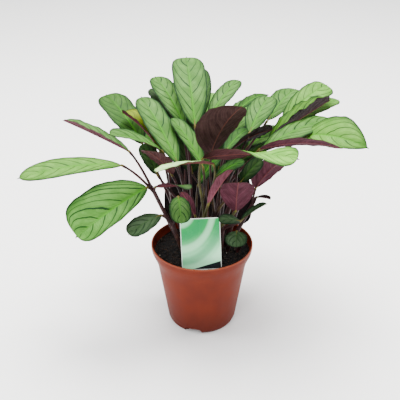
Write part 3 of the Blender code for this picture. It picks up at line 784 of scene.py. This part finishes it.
# THE BLADES. Thin firm leaves: silvery green above with a lime midrib, fine veins that sweep from the
# midrib to the edge, dark feathered stripes along some of them and a thin dark rim; plum to maroon
# beneath. The midrib is sunk above and stands proud below, the veins quilt the blade, its edge ripples.
BLADE_WIDEST = 0.58
BASE_CURVE = 1.7
BASE_ROUND = 0.6
BLADE_CAMBER = 0.16
TIP_WIDTH = 0.045
TIP_POINT = 0.026
VEIN_GAP = 24.0
VEIN_SLANT = 0.95
VEIN_SWEEP = 1.15
VEIN_OFFSET = 0.43
VEIN_SHIFT = 0.31
BLADE_THICK = 0.5
EDGE_THICK = 0.28
QUILT = 0.2
RIB_HEIGHT = 0.55
RIB_HALF_WIDTH = 0.9
RUFFLE = 0.5
LONG_WAVES = 3.1
SHORT_WAVES = 7.3
COMMON_HALF_WIDTH = 18.0
# The blade's mesh: how many sections its length would have, how many of them are even, the closer ones
# that follow at the tip, and the lines along it as shares of its half width.
BLADE_STEPS = 60
EVEN_STEPS = 57
TIP_STEPS = (0.968, 0.977, 0.984, 0.99, 0.9945, 0.998, 1.0, 1.008, 1.018, 1.026)
ACROSS = (0.045, 0.1, 0.17, 0.25, 0.33, 0.41, 0.49, 0.57, 0.65, 0.73, 0.81, 0.88, 0.94, 0.98, 1.0)

# Each look: the upper face's colour as a screen shows it, its stripes' strength and breadth, how lime its
# midrib is, and the lower face's colour.
LOOKS = {
    "silver": ((79, 116, 54), 1.0, 1.0, 0.9, (74, 36, 46)),
    "pale": ((98, 142, 58), 0.8, 1.0, 0.8, (80, 40, 50)),
    "fresh": ((50, 84, 34), 0.9, 1.2, 0.6, (74, 36, 46)),
    "bold": ((84, 130, 56), 1.0, 1.5, 1.0, (74, 34, 46)),
    "netted": ((74, 106, 52), 0.9, 1.2, 0.5, (74, 34, 46)),
    "dull": ((58, 92, 36), 0.85, 0.9, 0.8, (54, 28, 36)),
    "grey": ((66, 90, 50), 0.5, 0.9, 0.2, (66, 34, 42)),
    "olive": ((112, 124, 4), 0.5, 0.8, 0.3, (72, 32, 42)),
    # Partly painted shade: the dark look's colours are deep green and plum made darker still for leaves
    # deep inside the plant, where shade falls.
    "dark_and_shaded": ((44, 62, 32), 0.8, 1.2, 0.15, (36, 18, 20)),
    "moss": ((66, 84, 60), 0.9, 1.2, 0.1, (36, 18, 20)),
    # Painted shade: the shade look is near black, for the hanging back leaves in the dark middle of the
    # plant.
    "shade": ((34, 60, 20), 0.8, 1.2, 0.4, (16, 10, 10)),
    # Painted highlight: the white look's near-white upper face stands for glare on a blade seen edge on.
    "white_glare": ((196, 220, 158), 0.25, 0.8, 0.4, (80, 46, 46)),
    "russet": ((60, 84, 38), 0.5, 1.0, 0.4, (66, 40, 40)),
    "bronze": ((112, 164, 64), 0.7, 1.0, 0.6, (66, 38, 40)),
    "plum": ((92, 134, 48), 0.7, 1.0, 0.6, (70, 36, 46)),
    "bract": ((62, 22, 34), 0.5, 1.0, 0.0, (62, 30, 38)),
    "rose": ((92, 134, 48), 0.7, 1.0, 0.6, (106, 62, 72)),
    "sheath": ((92, 134, 48), 0.7, 1.0, 0.6, (84, 46, 56)),
    "maroon": ((92, 134, 48), 0.7, 1.0, 0.6, (58, 39, 39)),
    "black": ((74, 116, 30), 0.9, 1.0, 0.8, (34, 20, 22)),
}


def half_width(row, u):
    """Half the blade's width at a share u of its length; the drawn-out point runs on past 1."""
    if u >= 1:
        return row["width"] / 2 * TIP_WIDTH * max(1 - (u - 1) / TIP_POINT, 0.12)
    if u < BLADE_WIDEST:
        share = (1 - ((BLADE_WIDEST - u) / BLADE_WIDEST) ** BASE_CURVE) ** BASE_ROUND
    else:
        past = (u - BLADE_WIDEST) / (1 - BLADE_WIDEST)
        share = (1 - past ** row["blunt"]) ** row["tip"]
    return row["width"] / 2 * max(share, TIP_WIDTH)


def blade_frame(row, u):
    """Point on the midrib, and the blade's left and up directions there."""
    along = direction(row["heading"], row["pitch"])
    up = (Vector((0, 0, 1)) - along * along.z).normalized()
    up = Matrix.Rotation(math.radians(row["roll"]), 3, along) @ up
    left = up.cross(along)
    bump, slope = 4 * u * (1 - u), 4 * (1 - 2 * u) / row["length"]
    point = row["joint"] + along * row["length"] * u
    point += up * row["arch"] * bump + left * row["sweep"] * bump
    tangent = (along + up * row["arch"] * slope + left * row["sweep"] * slope).normalized()
    left = (left - tangent * left.dot(tangent)).normalized()
    left = Matrix.Rotation(math.radians(row["twist"] * u * u), 3, tangent) @ left
    return point, left, tangent.cross(left)


def half_share(row, v):
    """The width of the half on v's side, as a share of an even half."""
    return 1 + row["uneven"] * (1 if v > 0 else -1)


def blade_point(row, u, v):
    """Point on the upper face: u runs from stalk to tip, v from the right edge to the left."""
    point, left, up = blade_frame(row, u)
    half, fold = half_width(row, u), math.radians(row["fold"])
    half *= half_share(row, v)
    lift = half * (math.sin(fold) * abs(v) - BLADE_CAMBER * v * v)
    return point + left * half * v * math.cos(fold) + up * lift


def vein_count(row):
    """How many side veins leave the midrib on one side: a longer blade has more."""
    return 2.0 + round(row["length"] / VEIN_GAP)


def vein_place(row, u, v, seed):
    """How many side veins lie between the stalk and this place; a vein runs where it is whole."""
    slant = row["width"] / 2 / row["length"] * half_share(row, v)
    side = 0.0 if v < 0 else VEIN_OFFSET
    across = abs(v)
    bend = slant * (VEIN_SLANT * across + VEIN_SWEEP * across**3)
    return (u - bend) * vein_count(row) + side + VEIN_SHIFT * seed


def blade_mesh(row, seed):
    """A blade's points in millimetres, its faces, and what its finish reads at their corners."""
    columns = [-v for v in reversed(ACROSS)] + [0.0] + list(ACROSS)
    stations = [i / BLADE_STEPS for i in range(EVEN_STEPS)] + list(TIP_STEPS)
    count, phase = len(columns), seed * 1.7
    upper, lower = [], []
    for u in stations:
        up = blade_frame(row, u)[2]
        half = half_width(row, u)
        # Quilting, ripples and midrib die away at both ends of the blade.
        calm = min(u * 6, 1.0) * min(max(1.02 - u, 0.0) * 8, 1.0)
        for v in columns:
            place = blade_point(row, u, v)
            mid = abs(v) * half
            vein = vein_place(row, u, v, seed)
            quilting = -QUILT * math.cos(2 * math.pi * vein) * (1 - abs(v) ** 3) * min(mid / 3.0, 1.0)
            ripple = RUFFLE * row["ruffle"] * abs(v) ** 3 * (
                math.sin(2 * math.pi * (LONG_WAVES * u) + phase + (2.1 if v > 0 else 0.0))
                + 0.6 * math.sin(2 * math.pi * (SHORT_WAVES * u) + 2.3 * phase + v)
            ) * half / COMMON_HALF_WIDTH
            rib = math.exp(-((mid / RIB_HALF_WIDTH) ** 2)) * min(1.6 - 1.3 * u, 1.0)
            rise = (quilting + ripple) * calm - 0.3 * rib * calm
            thick = BLADE_THICK + (EDGE_THICK - BLADE_THICK) * abs(v) + RIB_HEIGHT * rib
            upper.append(place + up * rise)
            lower.append(place + up * (rise - thick))
    points = upper + lower
    total, rows = len(upper), len(stations)
    faces, sides = [], []
    for i in range(rows - 1):
        for k in range(count - 1):
            a = i * count + k
            b, c, d = a + 1, a + count + 1, a + count
            faces += [(a, b, c, d), (total + d, total + c, total + b, total + a)]
            sides += [0.0, 1.0]
    edge = list(range(count))
    edge += [i * count + count - 1 for i in range(1, rows)]
    edge += [(rows - 1) * count + k for k in range(count - 2, -1, -1)]
    edge += [i * count for i in range(rows - 2, 0, -1)]
    for i, a in enumerate(edge):
        b = edge[(i + 1) % len(edge)]
        faces.append((b, a, total + a, total + b))
        sides.append(0.5)
    grid = [(u, v) for u in stations for v in columns] * 2
    return points, faces, sides, grid


def blade_object(name, rows, first_seed, finish):
    """All the blades of one stem as one object, with their pattern's coordinates and colours."""
    points, faces, corner_uv, corner_vein, sides = [], [], [], [], []
    tops, unders, habits = [], [], []
    for number, row in enumerate(rows):
        seed = first_seed + number
        top, strength, breadth, lime, under = LOOKS[row["look"]]
        blade_points, blade_faces, blade_sides, grid = blade_mesh(row, seed)
        start = len(points)
        points += blade_points
        sides += blade_sides
        for face in blade_faces:
            faces.append(tuple(start + i for i in face))
            middle = sum(grid[i][1] for i in face) / len(face)
            for i in face:
                u, v = grid[i]
                side = v if abs(v) > 1e-6 else math.copysign(1e-6, middle)
                corner_uv += [u, v * 0.5 + 0.5]
                mid = half_width(row, u) * v
                corner_vein += [vein_place(row, u, side, seed), mid]
        tops += srgb(*top) * len(blade_points)
        unders += srgb(*under) * len(blade_points)
        habits += [strength, breadth, (seed * 0.618) % 1.0, lime] * len(blade_points)
    obj = new_object(name, points, [], faces, finish)
    mesh = obj.data
    mesh.uv_layers.new(name="blade").data.foreach_set("uv", corner_uv)
    mesh.uv_layers.new(name="veins").data.foreach_set("uv", corner_vein)
    for title, values in (("top", tops), ("under", unders), ("habit", habits)):
        mesh.attributes.new(title, "FLOAT_COLOR", "POINT").data.foreach_set("color", values)
    mesh.attributes.new("below", "FLOAT", "FACE").data.foreach_set("value", sides)
    return smooth(obj, 50.0)


def channels(colour):
    """A colour's red, green and blue."""
    return add(colour.id_data, "ShaderNodeSeparateColor", {0: colour}).outputs[:3]


def blade_material():
    """The blade's pattern, drawn from its own coordinates: what is above, then what is beneath."""
    made, tree, shader = new_material("ctenanthe_blade")
    blade = add(tree, "ShaderNodeUVMap", uv_map="blade").outputs[0]
    veins = add(tree, "ShaderNodeUVMap", uv_map="veins").outputs[0]
    place = object_place(tree)
    top = add(tree, "ShaderNodeAttribute", attribute_name="top").outputs["Color"]
    under = add(tree, "ShaderNodeAttribute", attribute_name="under").outputs["Color"]
    habit = add(tree, "ShaderNodeAttribute", attribute_name="habit")
    below = marked(tree, "below")
    strength, breadth, leaf_seed = channels(habit.outputs["Color"])
    limeness = habit.outputs["Alpha"]
    along, v = parts(blade)[:2]
    signed = calc("MULTIPLY_ADD", v, 2.0, -1.0)
    across = calc("ABSOLUTE", signed)
    vein, mid = parts(veins)[:2]
    mid = calc("ABSOLUTE", mid)
    # Millimetres left to the edge of the blade.
    to_edge = minus(calc("DIVIDE", mid, calc("MAXIMUM", across, 0.02)), mid)

    # The side veins wander a little; each has its own strength and reach.
    wander = minus(speckle(place, 95.0, 2.0), 0.5)
    warped = calc("MULTIPLY_ADD", wander, 0.3, vein)
    number = calc("ROUND", warped)
    away = calc("ABSOLUTE", minus(warped, number))
    key = joined(number, times(leaf_seed, 91.0), calc("SIGN", signed))
    chance = add(tree, "ShaderNodeTexWhiteNoise", {"Vector": key}, noise_dimensions="3D")
    luck, reach = chance.outputs["Value"], channels(chance.outputs["Color"])[1]
    # A dark stroke lies along each side vein, a few of them bold: it starts at the midrib and tapers
    # outwards.
    bold = ramp(luck, 0.45, 0.8)
    fade_from = calc("MULTIPLY_ADD", reach, 0.35, 0.65)
    taper = ramp(across, fade_from, plus(fade_from, 0.5), 1.0, 0.0)
    width = times(calc("MULTIPLY_ADD", bold, 0.045, 0.036), breadth)
    width = times(width, calc("MULTIPLY_ADD", taper, 0.7, 0.3))
    ragged = calc("MULTIPLY_ADD", speckle(place, 900.0, 3.0), 0.016, -0.008)
    inside = minus(plus(width, ragged), away)
    stroke = times(ramp(inside, -0.012, 0.012), ramp(mid, 0.5, 1.2))
    stroke = times(stroke, calc("MULTIPLY_ADD", taper, 0.5, 0.5))
    stroke = times(stroke, calc("MULTIPLY_ADD", bold, 0.15, 0.85))
    stroke = times(stroke, strength)
    shadow = times(ramp(away, 0.0, 0.11, 0.4, 0.0), strength)

    # Fine veins between the side veins, and a slightly paler band half way between two of them: partly
    # the leaf's silver, partly painted sheen where the quilted blade bulges.
    fine_place = times(warped, 7.0)
    fine = calc("ABSOLUTE", minus(calc("FRACT", fine_place), 0.5))
    fine_line = ramp(fine, 0.0, 0.3, 1.0, 0.0)
    silver_and_sheen = times(ramp(away, 0.1, 0.45), ramp(mid, 1.0, 6.0))
    cloud = speckle(place, 60.0, 4.0, 0.6)
    streak = speckle(joined(times(warped, 3.7), times(mid, 0.06), leaf_seed), 1.6, 3.0)
    deep = blend(1.0, top, srgb(162, 196, 150), "MULTIPLY")
    pale = blend(0.3, top, top, "ADD")
    colour = blend(times(silver_and_sheen, 0.7), top, pale)
    colour = blend(ramp(cloud, 0.35, 0.7, 0.0, 0.7), colour, deep)
    colour = blend(ramp(streak, 0.4, 0.62, 0.0, 0.25), colour, deep)
    colour = blend(times(fine_line, 0.9), colour, deep)
    dark_green = blend(1.0, top, srgb(84, 122, 92), "MULTIPLY")
    colour = blend(shadow, colour, dark_green)
    colour = blend(stroke, colour, blend(0.3, srgb(8, 30, 16), dark_green))
    # The lime midrib fades towards the tip and runs a little way out along the side veins.
    tip_fade = ramp(along, 0.5, 0.95, 1.0, 0.2)
    lime = blend(0.2, srgb(62, 136, 8), top)
    tip_fade = times(tip_fade, limeness)
    glow = times(ramp(mid, 0.4, 3.2, 0.3, 0.0), tip_fade)
    colour = blend(glow, colour, lime)
    spur = times(ramp(away, 0.0, 0.05, 0.8, 0.0), ramp(mid, 0.8, 1.9, 1.0, 0.0))
    rib = calc("MAXIMUM", ramp(mid, 0.3, 0.65, 0.9, 0.0), spur)
    colour = blend(times(rib, tip_fade), colour, lime)
    # Painted shade: a thin dark line follows the midrib on one side, the shadow beside its sunk groove.
    midrib_shade = ramp(calc("ABSOLUTE", minus(mid, 1.05)), 0.0, 0.45, 0.6, 0.0)
    midrib_shade = times(midrib_shade, calc("GREATER_THAN", signed, 0.0))
    colour = blend(times(midrib_shade, strength), colour, dark_green)
    # The rim is a thin dark line, the margin's own colour with painted shade where the edge rolls over,
    # and its soft inner side is painted shade that darkens the blade's outer part.
    rim = calc("MAXIMUM", ramp(to_edge, 1.1, 2.2, 1.0, 0.0), ramp(to_edge, 1.0, 6.5, 0.5, 0.0))
    colour = blend(rim, colour, blend(0.5, srgb(8, 30, 16), dark_green))

    # Beneath: satin plum with the veins as darker lines, the fine ones fainter, and a redder midrib.
    shade = blend(1.0, under, srgb(158, 132, 142), "MULTIPLY")
    flush = blend(0.8, under, under, "ADD")
    purple = blend(ramp(cloud, 0.3, 0.7, 0.0, 0.75), under, shade)
    purple = blend(ramp(streak, 0.4, 0.7, 0.0, 0.5), purple, flush)
    purple = blend(times(fine_line, 0.4), purple, shade)
    purple = blend(times(ramp(away, 0.0, 0.09, 1.0, 0.0), 0.5), purple, shade)
    red_rib = blend(0.3, under, srgb(138, 74, 58))
    purple = blend(ramp(mid, 0.3, 0.9, 0.7, 0.0), purple, red_rib)
    edge = ramp(below, 0.25, 0.75)
    colour = blend(edge, colour, purple)

    rough_top = ramp(cloud, 0.3, 0.7, 0.44, 0.54)
    rough = plus(rough_top, times(edge, 0.25))
    relief = plus(times(fine_line, -0.6), ramp(away, 0.0, 0.08, -0.8, 0.0))
    relief = plus(relief, times(speckle(place, 2600.0, 2.0), 0.3))
    connect(shader, colour, rough, relief, 0.00022, 0.6)
    shader.inputs["Specular IOR Level"].default_value = 0.06
    return made


stalk_skin = stalk_tree()
blade_finish = blade_material()
leaf_number = 1
for node, root, top, radius, greenness, rows in STEMS:
    lines = [sheath_line(root, top, radius)] + [stalk_line(row, root, top) for row in rows]
    points = [point for line in lines for point, _, _ in line]
    edges, first = [], 0
    for line in lines:
        edges += [(first + i, first + i + 1) for i in range(len(line) - 1)]
        first += len(line)
    stalks = new_object(node + "_stalks", points, edges, [])
    for title, values in (
        ("thick", [thick * MM for line in lines for _, thick, _ in line]),
        ("along", [share for line in lines for _, _, share in line]),
        ("green", [greenness] * len(points)),
    ):
        stalks.data.attributes.new(title, "FLOAT", "POINT").data.foreach_set("value", values)
    smooth(face_out(grow(stalks, stalk_skin, {"Sides": STALK_SIDES})), 60.0)
    blades = blade_object(node + "_blades", rows, leaf_number, blade_finish)
    leaf_number += len(rows)
    for piece in (stalks, blades):
        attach(piece, "root")
        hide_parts(node)

# THE LABEL. A thin glossy plastic card with rounded corners that grows into a pointed stake, pushed into
# the peat against the front of the lip. Its print is a plain wash of green with soft rings.
LABEL_WIDTH = 45.0
LABEL_HEIGHT = 61.6
LABEL_CORNER = 4.0
LABEL_THICK = 0.6
LABEL_FOOT = (0.0, -46.0, 98.0)
LABEL_LEAN = 12.0
LABEL_SPIN = -2.4
LABEL_BOW = 1.1
STAKE_WIDTH = 13.0
STAKE_LENGTH = 12.0
STAKE_POINT = 6.0
CORNER_STEPS = 12
STRIP_HEIGHT = 3.0
STRIP_WIDTH = 3.5


def label_material():
    """The front's print, by shares of the card's width and height, and the plain pale back."""
    made, tree, shader = new_material("printed_label")
    card = add(tree, "ShaderNodeUVMap", uv_map="card").outputs[0]
    x, y = parts(card)[:2]
    wash = plus(y, times(x, -0.2))
    colour = blend(ramp(wash, -0.15, 0.7), srgb(178, 255, 200), srgb(0, 148, 72))
    # Soft rings of deeper and paler green spread from the card's top left corner.
    shifted = joined(x, minus(y, 1.25))
    far = add(tree, "ShaderNodeVectorMath", {0: shifted}, operation="LENGTH").outputs["Value"]
    wave = calc("SINE", times(far, 13.0))
    colour = blend(ramp(wave, 0.0, 1.0, 0.0, 0.5), colour, srgb(0, 132, 74))
    colour = blend(ramp(wave, -1.0, -0.2, 0.5, 0.0), colour, srgb(190, 255, 206))
    # A charcoal wedge runs along the foot, inside a thin white border.
    wedge = calc("MULTIPLY_ADD", x, 0.2, minus(-0.04, y))
    colour = blend(ramp(wedge, -0.004, 0.004), colour, srgb(30, 34, 36))
    inset_x = minus(0.5, calc("ABSOLUTE", minus(x, 0.5)))
    inset_y = minus(0.5, calc("ABSOLUTE", minus(y, 0.5)))
    inset = calc("MINIMUM", inset_x, times(inset_y, LABEL_HEIGHT / LABEL_WIDTH))
    colour = blend(ramp(inset, 0.014, 0.02, 0.85, 0.0), colour, srgb(228, 240, 230))
    front = marked(tree, "front")
    colour = blend(front, srgb(226, 232, 226), colour)
    place = object_place(tree)
    smudge = speckle(place, 90.0, 3.0)
    rough = ramp(smudge, 0.35, 0.7, 0.22, 0.36)
    connect(shader, colour, rough, speckle(place, 420.0, 1.0), 0.0001, 0.1)
    shader.inputs["Specular IOR Level"].default_value = 0.15
    return made


def card_corner(x, z, start):
    """One rounded corner about its centre, a quarter turn from a start in degrees."""
    turns = [math.radians(start + 90 * i / CORNER_STEPS) for i in range(CORNER_STEPS + 1)]
    return [(x + LABEL_CORNER * math.cos(turn), z + LABEL_CORNER * math.sin(turn)) for turn in turns]


def rounded_card():
    """The card's outline with its stake, from the top right corner anticlockwise."""
    side, high = LABEL_WIDTH / 2 - LABEL_CORNER, LABEL_HEIGHT - LABEL_CORNER
    outline = card_corner(side, high, 0) + card_corner(-side, high, 90)
    outline += card_corner(-side, LABEL_CORNER, 180)
    outline += [
        (-STAKE_WIDTH / 2, 0), (-STAKE_WIDTH / 2, STAKE_POINT - STAKE_LENGTH), (0, -STAKE_LENGTH),
        (STAKE_WIDTH / 2, STAKE_POINT - STAKE_LENGTH), (STAKE_WIDTH / 2, 0),
    ]
    return outline + card_corner(side, LABEL_CORNER, 270)


def label_card():
    """The card cut into strips both ways, so that it can bow a little, with a real thickness."""
    place = (
        Matrix.Translation(LABEL_FOOT)
        @ Matrix.Rotation(math.radians(-LABEL_LEAN), 4, "X")
        @ Matrix.Rotation(math.radians(LABEL_SPIN), 4, "Y")
    )
    sheet = bmesh.new()
    corners = [sheet.verts.new((x, 0.0, z)) for x, z in rounded_card()]
    sheet.faces.new(corners)
    for axis, low, high, step in (
        (Vector((0, 0, 1)), -STAKE_LENGTH, LABEL_HEIGHT, STRIP_HEIGHT),
        (Vector((1, 0, 0)), -LABEL_WIDTH / 2, LABEL_WIDTH / 2, STRIP_WIDTH),
    ):
        at = low + step
        while at < high:
            everything = sheet.verts[:] + sheet.edges[:] + sheet.faces[:]
            bmesh.ops.bisect_plane(sheet, geom=everything, plane_co=axis * at, plane_no=axis)
            at += step
    bmesh.ops.recalc_face_normals(sheet, faces=sheet.faces)
    if sum(face.normal.y for face in sheet.faces) > 0:
        bmesh.ops.reverse_faces(sheet, faces=sheet.faces)
    flat = [(vertex.co.x, vertex.co.z) for vertex in sheet.verts]
    sheet.verts.index_update()
    faces = [[vertex.index for vertex in face.verts] for face in sheet.faces]
    rim = [(edge.verts[0].index, edge.verts[1].index) for edge in sheet.edges if edge.is_boundary]
    sheet.free()
    points = []
    for depth in (-LABEL_THICK / 2, LABEL_THICK / 2):
        for x, z in flat:
            up = max(z, 0.0) / LABEL_HEIGHT
            bow = LABEL_BOW * (1 - (2 * x / LABEL_WIDTH) ** 2) * up - 0.5 * LABEL_BOW * up
            points.append(place @ Vector((x, depth - bow, z)))
    count = len(flat)
    whole = faces + [[count + i for i in reversed(face)] for face in faces]
    whole += [[b, a, count + a, count + b] for a, b in rim]
    return points, whole, flat, len(faces)


card_points, card_faces, card_flat, front_count = label_card()
label = new_object("plant_label", card_points, [], card_faces, label_material())
card_uv = label.data.uv_layers.new(name="card")
for loop in label.data.loops:
    x, z = card_flat[loop.vertex_index % len(card_flat)]
    card_uv.data[loop.index].uv = (x / LABEL_WIDTH + 0.5, z / LABEL_HEIGHT)
printed = [1.0 if i < front_count else 0.0 for i in range(len(card_faces))]
label.data.attributes.new("front", "FLOAT", "FACE").data.foreach_set("value", printed)
smooth(face_out(label), 40.0)
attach(label, "root")
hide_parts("label")

# THE STUDIO. A pale matt floor that fills the view, a wide soft light overhead, weaker ones on the left,
# on the right and in front, a pale sky, and a camera 0.95 m away that looks 29 degrees down, as the
# photograph's does. Lamps and camera are placed in metres.
FLOOR_SIDE = 4000.0
FLOOR_NEAR = -3000.0
FLOOR_FAR = 6000.0
SENSOR = 36.0
LENS = 72.18
CAMERA_PLACE = (-0.0023, -0.80565, 0.60942)
CAMERA_DROP = 29
LAMP_AIM = Vector((0, 0.02, 0.18))
floor_corners = [
    (-FLOOR_SIDE, FLOOR_NEAR, 0), (FLOOR_SIDE, FLOOR_NEAR, 0),
    (FLOOR_SIDE, FLOOR_FAR, 0), (-FLOOR_SIDE, FLOOR_FAR, 0),
]
floor = new_object("floor", floor_corners, [], [(0, 1, 2, 3)])
floor_finish, _, floor_shader = new_material("pale_floor")
floor_shader.inputs["Base Color"].default_value = srgb(246, 245, 243)
floor_shader.inputs["Roughness"].default_value = 0.9
floor.data.materials.append(floor_finish)

world = bpy.data.worlds.new("studio")
world.use_nodes = True
sky = world.node_tree.nodes["Background"].inputs
sky["Color"].default_value = (0.93, 0.96, 1.0, 1.0)
sky["Strength"].default_value = 1.0
bpy.context.scene.world = world

# Each lamp's place, width, power in watts and tint.
LAMPS = (
    ("key", (0.0, 0.4, 1.7), 1.2, 104.0, (1.0, 0.99, 0.97)),
    ("left", (-1.3, -0.1, 0.9), 0.8, 17.0, (0.96, 0.98, 1.0)),
    ("right", (1.3, 0.1, 0.7), 0.8, 14.0, (1.0, 0.98, 0.96)),
    ("front", (-0.5, -1.3, 1.1), 0.9, 14.0, (1.0, 1.0, 1.0)),
)
for lamp_name, spot, width, power, tint in LAMPS:
    lamp = bpy.data.lights.new(lamp_name, "AREA")
    lamp.shape = "DISK"
    lamp.size = width
    lamp.energy = power
    lamp.color = tint
    holder = bpy.data.objects.new(lamp_name, lamp)
    holder.location = spot
    holder.rotation_euler = (LAMP_AIM - Vector(spot)).to_track_quat("-Z", "Y").to_euler()
    bpy.context.scene.collection.objects.link(holder)

lens = bpy.data.cameras.new("camera")
lens.sensor_width = SENSOR
lens.lens = LENS
camera = bpy.data.objects.new("camera", lens)
camera.location = CAMERA_PLACE
camera.rotation_euler = (math.radians(90 - CAMERA_DROP), 0, 0)
bpy.context.scene.collection.objects.link(camera)
bpy.context.scene.camera = camera
